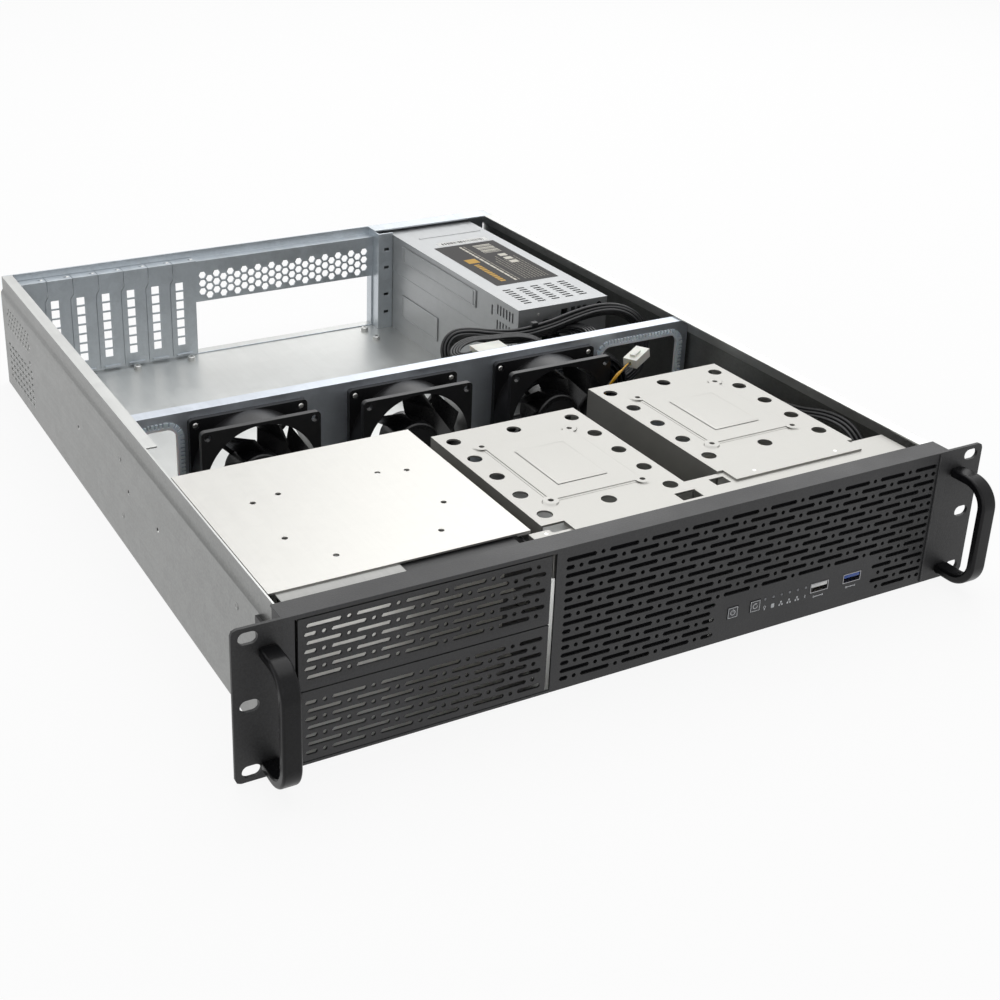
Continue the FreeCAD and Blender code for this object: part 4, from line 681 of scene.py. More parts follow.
UPPER_LEAD = [
    (180, 284, 33), (189, 284, 36), (197.5, 286, 46), (201.5, 289, 60), (198.5, 294, 74), (187, 301, 81.5),
    (171, 307, 81.5), (152, 309.5, 77.5), (131, 309.5, 72.5), (104, 310.5, 69.5), (84, 316, 71.5), (68, 321, 74.5),
    (56, 323.5, 73.5), (49, 321, 65), (49.5, 313, 54), (53, 305.5, 48), (56, 299.4, 45),
]
LOWER_LEAD = [
    (118, 288, 66), (112, 291.5, 72), (102.5, 297, 75.5), (92, 302, 75.5), (79, 305.5, 74.5), (64, 306.5, 76),
    (51.5, 304, 74.5), (44, 298, 72), (44.5, 291.5, 71), (50.5, 289.5, 70.8), (56, 290.5, 70.8),
]
FAN_LEAD = [
    (128, 228, 8), (136, 227, 7), (149, 223, 4.5), (165, 214, 3.2), (176, 201, 3), (172, 188, 3), (156, 184, 3.2),
    (138, 188, 4), (122, 197, 7), (112, 207, 14), (109, 214, 27), (111, 217.5, 42), (117, 218.5, 56),
    (125, 218, 67), (134, 219.3, 72.3), (142.5, 223.5, 74),
]
PANEL_LEAD = [
    (158, 13.6, 19.5), (161, 23, 20), (172, 31.5, 21.5), (187, 44, 27), (195, 70, 40), (199, 100, 54),
    (200, 130, 60), (198.5, 160, 57), (196, 190, 47), (195, 220, 36), (195.5, 250, 29), (197.5, 273, 20.5),
    (198.2, 288, 10.5), (197.4, 297, 6), (197, 304, 4.6),
]

SOCKET_LEAD = [
    (150.2, 13.9, 20.5), (154, 23, 22), (168, 33, 27), (186, 41, 38), (197, 49, 54), (201.5, 58, 70), (202, 70, 77),
    (202, 84, 77.5), (202, 98, 75), (202, 115, 69.5), (202, 145, 64), (202, 175, 60), (201, 205, 52), (197, 230, 44),
    (190.5, 250, 38), (190, 270, 28), (189.5, 287, 16), (188, 299, 8), (186.5, 306, 5.6),
]

# Each flat lead of the hank: way in from the supply, lane along Y, turns, real length in metres
HANK_LEADS = [
    ([(142, 325.5, 60), (142, 317, 60.5), (140.5, 306, 62.5), (134, 297.5, 64.6), (124, 294.2, 64.9)], 293.8, 3, 1.04),
    (
        [(142, 325.5, 64.5), (144, 316, 66), (147, 304, 69.4), (146, 294, 70.6), (139, 286.5, 69.8), (127, 283.8, 67)],
        283.6, 4, 1.33,
    ),
    (
        [
            (142, 325.5, 69), (146, 314, 71), (152, 300, 74), (153, 288, 74.6), (148, 278.5, 73.4), (136, 273.8, 70.4),
            (122, 273.4, 66.8),
        ],
        273.4, 3, 1.07,
    ),
]
HANK_MIDDLE = (110.0, 33.6)  # X and Z of the middle of the hank
HANK_STRAIGHT = 37.5  # half of the straight run of a turn
HANK_RADIUS = 31.0  # of the outermost fold
HANK_STEP = 3.5  # from one turn to the next inside it
TABLE_GAP = 2.7  # lowest middle of a lead that lies on the floor
FLAT_WIDTH = 0.0094  # metres across a flat supply lead


def followed(points):
    """Places along one smooth NURBS curve whose control points are the route's, read from its own spline."""
    curve = bpy.data.curves.new("bare_route", "CURVE")
    curve.dimensions = "3D"
    line = curve.splines.new("NURBS")
    line.points.add(len(points) - 1)
    for point, place in zip(line.points, points):
        point.co = (*at(*place), 1.0)
    line.order_u = 3
    line.use_endpoint_u = True
    line.resolution_u = 8
    bare = bpy.data.objects.new("bare_route", curve)
    bpy.context.scene.collection.objects.link(bare)
    bpy.context.view_layer.update()
    mesh = bpy.data.meshes.new_from_object(bare)
    places = [corner.co.copy() for corner in mesh.vertices]
    bpy.data.objects.remove(bare, do_unlink=True)
    bpy.data.curves.remove(curve)
    bpy.data.meshes.remove(mesh)
    return places


def sides_along(places):
    """A side and an up vector at each place, carried along with as little turning as possible."""
    result = []
    up = Vector((0, 0, 1))
    for i in range(len(places)):
        ahead = (places[min(i + 1, len(places) - 1)] - places[max(i - 1, 0)]).normalized()
        side = ahead.cross(up).normalized()
        up = side.cross(ahead).normalized()
        result.append((side, up))
    return result


def wire_mesh(name, places, radius, sides):
    """One round wire with closed ends along given places."""
    corners = []
    for place, (side, up) in zip(places, sides_along(places)):
        for k in range(sides):
            turn = 2 * math.pi * k / sides
            corners.append(place + (side * math.cos(turn) + up * math.sin(turn)) * radius)
    faces = []
    for i in range(len(places) - 1):
        for k in range(sides):
            a, b = i * sides + k, i * sides + (k + 1) % sides
            faces.append((a, a + sides, b + sides, b))
    faces.append(tuple(range(sides)))
    faces.append(tuple(reversed(range((len(places) - 1) * sides, len(places) * sides))))
    mesh = bpy.data.meshes.new(name)
    mesh.from_pydata(corners, [], faces)
    piece = bpy.data.objects.new(name, mesh)
    bpy.context.scene.collection.objects.link(piece)
    choose_all(piece)
    bpy.ops.mesh.normals_make_consistent(inside=False)
    done()
    return smooth(piece, 60)


def wires_along(name, points, wires, radius, twist=0.0, sides=8, loosen=0.0):
    """A lead of several wires side by side or twisted, joined in one mesh, and the places of its route."""
    places = followed(points)
    frames = sides_along(places)
    run = [0.0]
    for a, b in zip(places, places[1:]):
        run.append(run[-1] + (b - a).length)
    pieces = []
    for k, (across, over, finish) in enumerate(wires):
        line = []
        for place, (side, up), distance in zip(places, frames, run):
            turn = 2 * math.pi * distance / (twist * MM) if twist else 0.0
            share = distance / run[-1]
            apart = 1 + loosen * math.sin(math.pi * 3 * share + k) * math.sin(math.pi * share)
            u = (across * math.cos(turn) - over * math.sin(turn)) * apart
            v = (across * math.sin(turn) + over * math.cos(turn)) * apart
            line.append(place + (side * u + up * v) * MM)
        wire = wire_mesh("%s_%d" % (name, k), line, radius * MM, sides)
        wire.data.materials.append(FINISHES[finish])
        pieces.append(wire)
    return join(name, pieces), places


def flat_wires(columns, layers, pitch_across, pitch_over, finish="lead_sheath"):
    """Wires of a flat lead, in layers, as offsets in millimetres."""
    return [
        ((i - (columns - 1) / 2) * pitch_across, (j - (layers - 1) / 2) * pitch_over, finish)
        for j in range(layers)
        for i in range(columns)
    ]


def lane_points(way_in, lane, turns):
    """The route of one flat lead: in from the supply, then round and round inwards."""
    middle_x, middle_z = HANK_MIDDLE
    chance = random.Random(int(lane))
    points = list(way_in)
    # a turn is a left fold, a point of the lower run, a right fold and a point of the upper run
    steps = []
    for turn in range(turns):
        steps += [(-1, 90 + 30 * k) for k in range(7)] + [(0, -90)]
        steps += [(1, -90 + 30 * k) for k in range(7)] + [(0, 90)]
    for i, (side, angle) in enumerate(steps):
        radius = HANK_RADIUS - HANK_STEP * i / 16
        if side:
            x = middle_x + side * HANK_STRAIGHT + radius * math.cos(math.radians(angle)) * 1.015
            z = middle_z + radius * math.sin(math.radians(angle)) * 1.01
        else:
            x = middle_x
            z = middle_z + math.copysign(radius - 0.6, angle)
        points.append((x + chance.uniform(-0.4, 0.4), lane + chance.uniform(-0.3, 0.3), max(z, TABLE_GAP)))
    x, y, z = points[-1]
    return points + [(x - 10, lane, z - 1.5), (x - 19, lane, z - 5)]


TIE_PLACE = (115.9, 310.2, 70.9)
TIE_WIDTH = 4.4
TIE_REACH = (6.2, 5.1)  # half of its size along Y and Z


def connector_block(name, x, y, z, ways=4):
    """A moulded connector: a rounded housing with a row of ways in its side."""
    body = round_edges(block(name, x, y, z), 0.5, 2)
    step = (x[1] - x[0]) / (ways + 0.6)
    middle = (z[0] + z[1]) / 2
    tools = []
    for k in range(ways):
        left = x[0] + step * (k + 0.45)
        across, over = (left, left + step * 0.7), (middle - step * 0.3, middle + step * 0.3)
        tools.append(block(name + "_way", across, (y[0] - 1, y[0] + 3), over))
    subtract(body, join(name + "_ways", tools))
    return finished(smooth(body), FINISHES["black_plug"], "black_plug", "case")


def add_lead(name, route, wires, radius, width, real, far_end, ends=(), stands_for=(), lay="loose", plug=None, **way):
    """One lead along its route, in millimetres, with a connector block on its end when a plug is given; its width and
    length in metres and its far end are not used.
    """
    lead, places = wires_along(name, route, wires, radius, **way)
    finished(lead, None, "lead_sheath", "case", *stands_for)
    ends = list(ends)
    if plug:
        ends.append(connector_block(*plug))


class CASE_OT_leads(bpy.types.Operator):
    """Adds the supply's flat leads with their hank, the fan's wires and the lead of the front controls"""

    bl_idname = "case.leads"
    bl_label = "Leads"

    def execute(self, context):
        add_lead(
            "supply_lead_upper", UPPER_LEAD, flat_wires(4, 3, 2.35, 2.45), 1.2, FLAT_WIDTH, 0.2425, "object",
            stands_for=["psu_lead_upper"], loosen=0.16, sides=7,
        )
        add_lead(
            "supply_lead_lower", LOWER_LEAD, flat_wires(4, 1, 1.9, 1.9), 0.98, 0.0077, 0.1004, "connector",
            ["psu_lead_plug"], stands_for=["psu_lead_lower"],
        )
        for number, (way_in, lane, turns, real) in enumerate(HANK_LEADS, 1):
            route = lane_points(way_in, lane, turns)
            x, y, z = route[-1]
            add_lead(
                "supply_lead_hank_%d" % number, route, flat_wires(4, 1, 2.3, 2.3), 1.15, FLAT_WIDTH, real, "connector",
                stands_for=["psu_lead_hank", "psu_lead_root"] if number == 1 else [], lay="coiled", sides=6,
                plug=("supply_connector_%d" % number, (x - 17, x + 1), (lane - 4.4, lane + 4.4), (z - 6, z + 4)),
            )
        ring = [(math.cos(turn), math.sin(turn), "lead_sheath") for turn in (0.3, 1.87, 3.44, 5.01)]
        add_lead(
            "control_lead", PANEL_LEAD, ring, 0.98, sizes().panel_lead, 0.3213, "plug", ["panel_plug"],
            stands_for=["panel_lead"], twist=36,
        )
        add_lead(
            "socket_lead", SOCKET_LEAD, flat_wires(3, 1, 2.6, 2.6), 1.3, 0.0078, 0.354, "connector",
            plug=("socket_lead_connector", (181.8, 190.6), (306, 319), (1.4, 9.4)),
        )
        trio = [(0.66, 0, "yellow_wire"), (-0.33, 0.57, "black_wire"), (-0.33, -0.57, "yellow_wire")]
        add_lead(
            "fan_wires", FAN_LEAD, trio, 0.56, sizes().fan_lead, 0.2158, "plug", ["fan_plug"],
            stands_for=["fan_lead"], twist=30, sides=6,
        )
        self.cable_tie()
        return {"FINISHED"}

    def cable_tie(self):
        """A band round the bundle, squeezed from a round one, with its head."""
        tie = rod("tie_band", "X", TIE_PLACE, 1.0, TIE_WIDTH, 28)
        choose_all(tie)
        bpy.ops.transform.resize(value=(1, *TIE_REACH), center_override=at(*TIE_PLACE))
        done()
        choose_faces(tie, lambda centre, normal: abs(normal.x) > 0.9)
        bpy.ops.mesh.delete(type="FACE")
        done()
        modify(tie, "SOLIDIFY", thickness=0.9 * MM, offset=1.0)
        head = round_edges(block("tie_head", (115.6, 120.4), (308.2, 312.4), (75.8, 79.0)), 0.5)
        tie = smooth(join("cable_tie_band", [tie, head]))
        finished(tie, FINISHES["black_plug"], "lead_sheath", "case", "cable_tie")


# Sheet metal: welded copies with rounded bends, so that edges catch the light


def dressed(node, name, width, segments=2, tool=None, angle=35, weighted=True):
    """A copy of a CAD node with cut and rounded edges, which stands for it."""
    piece = merged_copy(node, name)
    if tool is not None:
        subtract(piece, tool)
    return rounded(piece, width, segments, angle, weighted)


def rounded(piece, width, segments=2, angle=35, weighted=True):
    """Clears needless cuts, rounds the sharp edges and keeps the flats flat."""
    choose_all(piece)
    bpy.ops.mesh.dissolve_limited(angle_limit=math.radians(0.5))
    done()
    round_edges(piece, width, segments, angle)
    if not weighted:
        pick(piece)
        bpy.ops.object.shade_flat()
        return piece
    smooth(piece, 40)
    return modify(piece, "WEIGHTED_NORMAL", keep_sharp=True, weight=80)


def ride_as(piece, finish, node):
    """Finishes a piece that stands for its CAD node."""
    slot = {"wall_steel": "tray_steel", "drive_steel": "cage_steel"}.get(finish, finish)
    return finished(piece, FINISHES[finish], slot, body_of(node), node)


# The two steps pressed in a drive cage, in millimetres: slope's low and high level, reach of its
# foot outwards, width and depth of the step
PRESSINGS = [(84.52, 84.98, 1.3, 71, 86), (85.02, 85.48, 1.9, 30, 44)]
PRESSED_LEVELS = (84.95, 85.3)  # just under the plateau's top and over it
PRESSING_LIFT = 0.3  # drawn a little higher than in the build, as the photo's highlights show
COVER_FLANGE = 3.6  # closes the gap between the bay's cover and the side wall
STRIP_REAR = 29.5  # where the bay's bare front strip ends under its cover


def widen_pressing(piece, middle, low, high, reach, width, depth):
    """Widens the foot of a pressed slope between two levels, so that it shades softly."""
    foot = set()
    for face in piece.data.polygons:
        if low < face.center.z / MM < high and abs(face.normal.z) < 0.98:
            foot.update(i for i in face.vertices if piece.data.vertices[i].co.z / MM < (low + high) / 2)
    choose_corners(piece, lambda corner: corner.index in foot)
    growth = (1 + 2 * reach / width, 1 + 2 * reach / depth, 1)
    bpy.ops.transform.resize(value=growth, center_override=middle)
    done()


def drive_cage(node, middle):
    """A drive cage with the soft slopes of its pressed plateau and pad."""
    piece = merged_copy(node, node + "_sheet")
    for pressing in PRESSINGS:
        widen_pressing(piece, middle, *pressing)
    for level in PRESSED_LEVELS:
        choose_corners(piece, lambda corner: corner.co.z / MM > level)
        bpy.ops.transform.translate(value=(0, 0, PRESSING_LIFT * MM))
        done()
    ride_as(rounded(piece, 0.25), "drive_steel", node)


def bay_cover():
    """The cover of the wide bay, with the narrow flange that closes the gap to the side wall."""
    piece = merged_copy("bay_cage_cover", "bay_cage_cover_sheet")
    choose_corners(piece, lambda corner: corner.co.x < -0.203)
    bpy.ops.transform.translate(value=(-COVER_FLANGE * MM, 0, 0))
    done()
    ride_as(rounded(piece, 0.35), "cage_steel", "bay_cage_cover")


def bay_frame():
    """The wide bay's cage, whose bare front strip is painted darker than its cover: duller bare steel with painted
    shade under the cover.
    """
    piece = rounded(merged_copy("bay_cage", "bay_cage_sheet"), 0.35)
    choose_all(piece)
    bpy.ops.mesh.bisect(plane_co=at(0, STRIP_REAR, 0), plane_no=(0, 1, 0))
    done()
    piece.data.materials.clear()
    for finish in ("cage_steel", "strip_steel"):
        piece.data.materials.append(FINISHES[finish])
    # the front strip under the cover takes the darker finish, which holds painted shade
    corner = at(-136, STRIP_REAR, 82.5)
    for face in piece.data.polygons:
        if face.center.y < corner.y and face.center.z > corner.z and face.center.x < corner.x:
            face.material_index = 1
    finished(piece, None, "cage_steel", "case", "bay_cage")


# node, finish and width of the rounding in millimetres
SHEETS = [
    ("chassis_tray", "tray_steel", 0.35), ("fan_wall", "wall_steel", 0.35), ("rear_panel", "cover_steel", 0.3),
    ("rear_post", "cover_steel", 0.3), ("front_crossbar", "drive_steel", 0.3), ("psu_case", "supply_steel", 0.3),
    ("psu_cover", "supply_steel", 0.3), ("rack_ear_left", "black_coat", 0.4), ("rack_ear_right", "black_coat", 0.4),
] + [("pci_cover_%d" % i, "cover_steel", 0.2) for i in range(1, 8)]
RIVETS = [(254.9, 61.3), (255.9, 21.3), (60.0, 62.0), (60.0, 20.0)]  # Y and Z on each side wall


class CASE_OT_sheets(bpy.types.Operator):
    """Rounds the bends and edges of the steel sheets and of the rack ears"""

    bl_idname = "case.sheets"
    bl_label = "Steel sheets"

    def execute(self, context):
        for node, finish, width in SHEETS:
            ride_as(dressed(node, node + "_sheet", width), finish, node)
        drive_cage("drive_cage_middle", at(0.0, 91.6, 84.5))
        drive_cage("drive_cage_right", at(127.5, 112.7, 84.5))
        bay_cover()
        bay_frame()
        for side in ("left", "right"):
            node = "handle_" + side
            ride_as(dressed(node, node + "_bow", 1.6, segments=4, angle=50), "black_handle", node)
        self.rivets()
        return {"FINISHED"}

    def rivets(self):
        """Flush rivets of the fan wall and small clinch points on both side walls."""
        pieces = []
        for side, x in ((-1, -215.25), (1, 214.95)):
            for y, z in RIVETS:
                head = rod("rivet", "X", (x, y, z), 2.0, 0.3, 20)
                recess(head, facing("X", side), 0.6, -0.12)
                pieces.append(round_edges(head, 0.12, 1))
        rivets = smooth(join("wall_rivets", pieces))
        finished(rivets, FINISHES["tray_steel"], "tray_steel", "case")


# Front: the perforated bezel, the blanks and what lies behind them

DOT_GAP = 3.9  # from a slot's end to the middle of its dot
SLOT_LENGTH = 19.2
SLOT_PITCH = 27.0
ROW_PITCH = 4.9
ROW_LOW = 6.6


ROWS = 16
CONTROL_ROWS = 5  # rows that stop beside the plain field of the controls


def dot_row(name, first, field, row):
    """A bar, repeated along X, that cuts one row's round holes between the slots of a field."""
    reach = sizes().dot * 500
    first += 0.0 if row % 2 else SLOT_PITCH / 2
    steps = range(-1 - int((first - field[0]) / SLOT_PITCH), int((field[1] - first) / SLOT_PITCH) + 1)
    centres = [first + SLOT_LENGTH + DOT_GAP + SLOT_PITCH * step for step in steps]
    centres = [x for x in centres if field[0] + reach < x < field[1] - reach]
    if not centres:
        return []
    bar = rod(name, "Y", (centres[0], -1.0, ROW_LOW + ROW_PITCH * row), reach, 3.4, 14)
    if len(centres) > 1:
        modify(
            bar, "ARRAY", count=len(centres), use_relative_offset=False, use_constant_offset=True,
            constant_offset_displace=(SLOT_PITCH * MM, 0, 0),
        )
    return [bar]


def bezel_dots():
    """The cutter for the round holes of the bezel."""
    left, right = -54.6, 205.5
    bars = []
    for row in range(ROWS):
        for field in [(left, 48.7), (165.0, right)] if row < CONTROL_ROWS else [(left, right)]:
            bars += dot_row("bezel_dot", left, field, row)
    return join("bezel_dots", bars)


def blank_dots(rows):
    """The cutter for the round holes of one bay blank."""
    bars = []
    for row in rows:
        bars += dot_row("blank_dot", -202.5, (-203.7, -66.4), row)
    return join("blank_dots", bars)


class CASE_OT_front(bpy.types.Operator):
    """Dresses the front: round vent holes, rounded edges and the dark filter behind the bezel"""

    bl_idname = "case.front"
    bl_label = "Perforated front"

    def execute(self, context):
        bezel = dressed("front_bezel", "perforated_bezel", 0.3, tool=bezel_dots(), weighted=False)
        ride_as(bezel, "black_coat", "front_bezel")
        for node, rows in (("bay_blank_lower", range(0, 7)), ("bay_blank_upper", range(9, ROWS))):
            ride_as(dressed(node, node + "_panel", 0.25, tool=blank_dots(rows), weighted=False), "black_coat", node)
        mat = block("dust_filter", (-54.9, 206.5), (1.35, 2.35), (4.2, 83.2))
        subtract(mat, block("filter_notch", (46.5, 167.0), (0, 4), (3.0, 29.0)))
        round_edges(mat, 0.15, 1)
        finished(smooth(mat), FINISHES["filter_foam"], "fan_plastic", "case")
        # the bent end of the bezel, which stands a little proud of the ear
        bead = round_edges(block("bezel_end_bead", (206.7, 207.9), (-0.9, 0.4), (0.9, 87.0)), 0.42, 3)
        finished(smooth(bead), FINISHES["black_coat"], "black_coat", "case")
        return {"FINISHED"}


# Controls: buttons, lamps, marks and sockets


BUTTONS = [("power", 61.5), ("reset", 77.6)]  # name and X
BUTTON_LEVEL = 17.7
LAMP_START, LAMP_PITCH, LAMP_COUNT = 85.0, 6.0, 6
MARK_FRONT = -0.43  # Y of the marks on the buttons
RING_FLATNESS = 0.12
SOCKETS = [(125.3, "white_tongue"), (150.2, "tongue_plastic")]  # X and the finish of the tongue


def ring_mark(name, x, y, z, radius, thick, around=28, turn=0.0):
    """A flat printed ring, standing on a face that looks to the front."""
    clear()
    bpy.ops.mesh.primitive_torus_add(
        major_segments=around, minor_segments=6, major_radius=radius * MM, minor_radius=thick * MM / 2,
        location=at(x, y, z), rotation=(math.pi / 2, turn, 0),
    )
    piece = named(name)
    middle = at(x, y, z).y
    for corner in piece.data.vertices:
        corner.co.y = middle + (corner.co.y - middle) * RING_FLATNESS
    return piece


def printed_bar(name, x, z, radius=0.08, segments=1, front=-0.06):
    """A flat printed bar on the face of the bezel, between two values along X and along Z."""
    return round_edges(block(name, x, (front, 0.02), z), radius, segments)


def lamp_mark(number):
    """The plain sign under one of the six lamps."""
    x = LAMP_START + LAMP_PITCH * number
    if number == 0:
        ring = ring_mark("lamp_mark", x, -0.03, 14.9, 0.75, 0.35, around=16)
        return [ring, printed_bar("lamp_mark", (x - 0.35, x + 0.35), (12.9, 13.9), 0.1)]
    if number == 1:
        return [printed_bar("drive_mark", (x - 1.1, x + 1.1), (13.0, 15.8), 0.3, 2)]
    if number == LAMP_COUNT - 1:
        return [printed_bar("info_mark", (x - 0.25, x + 0.25), (13.1, 15.3))]
    boxes = [(x, 15.4), (x - 1.0, 13.5), (x + 1.0, 13.5)]
    marks = [printed_bar("net_mark", (u - 0.55, u + 0.55), (v - 0.55, v + 0.55)) for u, v in boxes]
    return marks + [printed_bar("net_mark", (x - 1.0, x + 1.0), (14.1, 14.4), 0.05, front=-0.05)]


def socket_mark(x):
    """A bar with a round and a square end under a socket."""
    return [
        printed_bar("socket_mark", (x - 3.0, x + 3.0), (12.0, 12.5), front=-0.05),
        ring_mark("socket_mark", x - 3.4, -0.03, 12.25, 0.5, 0.4, around=14),
        printed_bar("socket_mark", (x + 2.4, x + 3.5), (11.7, 12.8), 0.1, front=-0.05),
    ]


def button_mark(name, x):
    """A square frame with the open ring of a button: power with a bar, reset with an arrow head."""
    border = ring_mark(name + "_frame", x, MARK_FRONT, BUTTON_LEVEL, 4.5, 0.5, around=4, turn=math.pi / 4)
    arc = ring_mark(name + "_arc", x, MARK_FRONT, BUTTON_LEVEL, 1.55, 0.42)
    depth = (MARK_FRONT - 0.03, MARK_FRONT + 0.05)
    if name == "power_mark":
        gap = block("gap", (x - 0.55, x + 0.55), (-2, 1), (18.6, 20.5))
        bar = round_edges(block("bar", (x - 0.2, x + 0.2), depth, (17.9, 19.9)), 0.08, 1)
    else:
        gap = block("gap", (x + 0.3, x + 2.4), (-2, 1), (17.7, 20.2))
        bar = block("bar", (x - 0.1, x + 1.3), depth, (18.6, 19.6))
        choose_faces(bar, facing("X"))
        bpy.ops.transform.resize(value=(1, 1, 0.1), center_override=at(x + 1.3, -0.4, 19.2))
        done()
    subtract(arc, gap)
    return smooth(join(name, [border, arc, bar]))


class CASE_OT_controls(bpy.types.Operator):
    """Adds the plain marks of the buttons and lamps and the two sockets with their tongues"""

    bl_idname = "case.controls"
    bl_label = "Controls"

    def execute(self, context):
        for key, x in BUTTONS:
            node = key + "_button"
            body = body_of(node)
            cap = dressed(node, node + "_cap", 0.35, segments=3)
            finished(cap, FINISHES["button_plastic"], "button_plastic", body, node)
            finished(button_mark(key + "_mark", x), FINISHES["pale_ink"], "button_plastic", body)
        marks = []
        for number in range(LAMP_COUNT):
            marks += lamp_mark(number)
        for x, finish in SOCKETS:
            marks += socket_mark(x)
        finished(smooth(join("lamp_marks", marks)), FINISHES["pale_ink"], "black_coat", "case")

        lamps = dressed("lamp_lenses", "lamp_lens_set", 0.2, segments=3)
        finished(lamps, FINISHES["lamp_plastic"], "lamp_plastic", "case", "lamp_lenses")
        for node in ("socket_slow", "socket_fast"):
            ride_as(dressed(node, node + "_shell", 0.15), "socket_steel", node)
        tongues = []
        for x, finish in SOCKETS:
            tongues.append(round_edges(block("tongue", (x - 5.9, x + 5.9), (0.1, 11.0), (18.4, 20.6)), 0.25))
            tongues[-1].data.materials.append(FINISHES[finish])
            for k in range(4):
                pad_x = x - 3.9 + 2.6 * k
                pad = block("pad", (pad_x - 0.6, pad_x + 0.6), (1.0, 8.0), (18.25, 18.5))
                tongues.append(round_edges(pad, 0.06, 1))
                tongues[-1].data.materials.append(FINISHES["copper"])
        finished(smooth(join("socket_tongue_pair", tongues)), None, "tongue_plastic", "case", "socket_tongues")
        return {"FINISHED"}


# Screws


def pan_screw(head_radius, head_height, shank_radius, shank_length):
    """One screw at the origin, head up along Z, with a cross recess; copied to each place."""
    clear()
    bpy.ops.mesh.primitive_cylinder_add(
        vertices=24, radius=head_radius * MM, depth=head_height * MM, location=(0, 0, head_height * MM / 2)
    )
    head = named("screw_head")
    choose_faces(head, facing("Z"))
    bpy.ops.mesh.inset(thickness=head_radius * 0.16 * MM, depth=0)
    done()
    round_edges(head, head_height * 0.38, 3, 50)
    arms = []
    for turn in (0, math.pi / 2):
        clear()
        bpy.ops.mesh.primitive_cube_add(size=1, location=(0, 0, head_height * MM), rotation=(0, 0, turn))
        bpy.context.object.scale = (head_radius * 1.15 * MM, head_radius * 0.26 * MM, head_height * 1.1 * MM)
        arms.append(named("cross_arm"))
    subtract(head, join("cross", arms))
    clear()
    bpy.ops.mesh.primitive_cylinder_add(
        vertices=14, radius=shank_radius * MM, depth=shank_length * MM, location=(0, 0, -shank_length * MM / 2 + 0.0001)
    )
    shank = round_edges(named("screw_shank"), shank_radius * 0.3, 1, 50)
    return smooth(join("screw_pattern", [head, shank]), 35)


def screws_at(name, pattern, places, turn):
    """Copies of a pattern screw at places in millimetres, turned one way; the pattern is removed."""
    pieces = []
    chance = random.Random(len(places) * 7)
    for place in places:
        pick(pattern)
        bpy.ops.object.duplicate(linked=False)
        piece = bpy.context.object
        piece.rotation_euler = (0, 0, chance.uniform(0, math.pi))
        bpy.ops.object.transform_apply(location=False, rotation=True, scale=False)
        piece.rotation_euler = turn
        piece.location = at(*place)
        pieces.append(named("screw_copy"))
    bpy.data.objects.remove(pattern, do_unlink=True)
    return join(name, pieces)


FRONT, BACK, UP = (math.pi / 2, 0, 0), (-math.pi / 2, 0, 0), (0, 0, 0)  # turns of a screw's head
FANS = (-132, -22, 88)  # X of the three fans
FAN_LEVEL = 41.5
HUB_FRONT = 227.0
FAN_HOLES = (-35.75, 35.75)
FAN_SCREWS = [(x + dx, 247.0, FAN_LEVEL + dz) for x in FANS for dx in FAN_HOLES for dz in FAN_HOLES]
SLOT_SCREWS = [(-184.32 + 20.32 * i, 543.8, 81.9) for i in range(7)]
CAGE_SCREWS = [(-52, 24.2, 83.3), (-30.4, 17, 84.5), (30.4, 17, 84.5), (97.1, 35.4, 84.5), (157.9, 35.4, 84.5)]
HANDLE_SCREWS = [(x, 2.0, z) for x in (-222.6, 222.6) for z in (7.55, 73.05)]


class CASE_OT_screws(bpy.types.Operator):
    """Adds the screws of the fans, the slot covers, the cages and the handles"""

    bl_idname = "case.screws"
    bl_label = "Screws"

    def execute(self, context):
        head = sizes().screw_head * 1000
        # name, radius and height of head and shank, places, turn, finish, node
        sets = [
            ("fan_screw_set", (4.0, 2.3, 1.9, 6.6), FAN_SCREWS, FRONT, "bright_screw", "fan_screws"),
            ("pci_screw_heads", (3.5, 2.1, 1.5, 0.9), SLOT_SCREWS, UP, "bright_screw", "pci_screws"),
            ("cage_screw_heads", (2.4, 0.8, 1.4, 1.1), CAGE_SCREWS, UP, "bright_screw", "cage_screws"),
            ("handle_screw_heads", (head, 2.2, 1.8, 2.0), HANDLE_SCREWS, BACK, "black_screw", "handle_screws"),
        ]
        for name, shape, places, turn, finish, node in sets:
            piece = screws_at(name, pan_screw(*shape), places, turn)
            finished(piece, FINISHES[finish], finish, "case", node)
        return {"FINISHED"}


# Fans


class CASE_OT_fans(bpy.types.Operator):
    """Rounds the fan frames and wheels and adds their hub films"""

    bl_idname = "case.fans"
    bl_label = "Fans"

    def execute(self, context):
        for number, x in enumerate(FANS, 1):
            node = "fan_frame_%d" % number
            ride_as(dressed(node, node + "_shell", 0.4), "fan_plastic", node)
            wheel = "fan_rotor_%d" % number
            ride_as(dressed(wheel, "fan_wheel_%d_blades" % number, 0.25), "rotor_plastic", wheel)
            hub = (x, HUB_FRONT, FAN_LEVEL)
            film = rod("fan_film_%d" % number, "Y", hub, 12.5, 0.22, 48)
            recess(film, facing("Y", -1), 1.0, 0.0)
            recess(film, lambda centre, normal: normal.y < -0.9 and (centre - at(*hub)).length < 4 * MM, 5.0, -0.05)
            round_edges(film, 0.06, 1)
            finished(smooth(film), FINISHES["hub_film"], "rotor_plastic", body_of(wheel))
        ride_as(dressed("psu_fan_frame", "psu_fan_shell", 0.3), "fan_plastic", "psu_fan_frame")
        ride_as(dressed("psu_fan_guard", "psu_fan_grille", 0.25), "supply_steel", "psu_fan_guard")
        film = rod("psu_fan_film", "Y", (151.7, 528.35, 52.4), 8.5, 0.22, 40)
        recess(film, facing("Y", -1), 0.8, 0.0)
        finished(smooth(film), FINISHES["hub_film"], "rotor_plastic", body_of("psu_fan_rotor"))
        return {"FINISHED"}


# Power supply: label, sticker, small openings

SUPPLY_TOP = 84.0
SUPPLY_FRONT = 323.5
SUPPLY_SIDE = 112.2


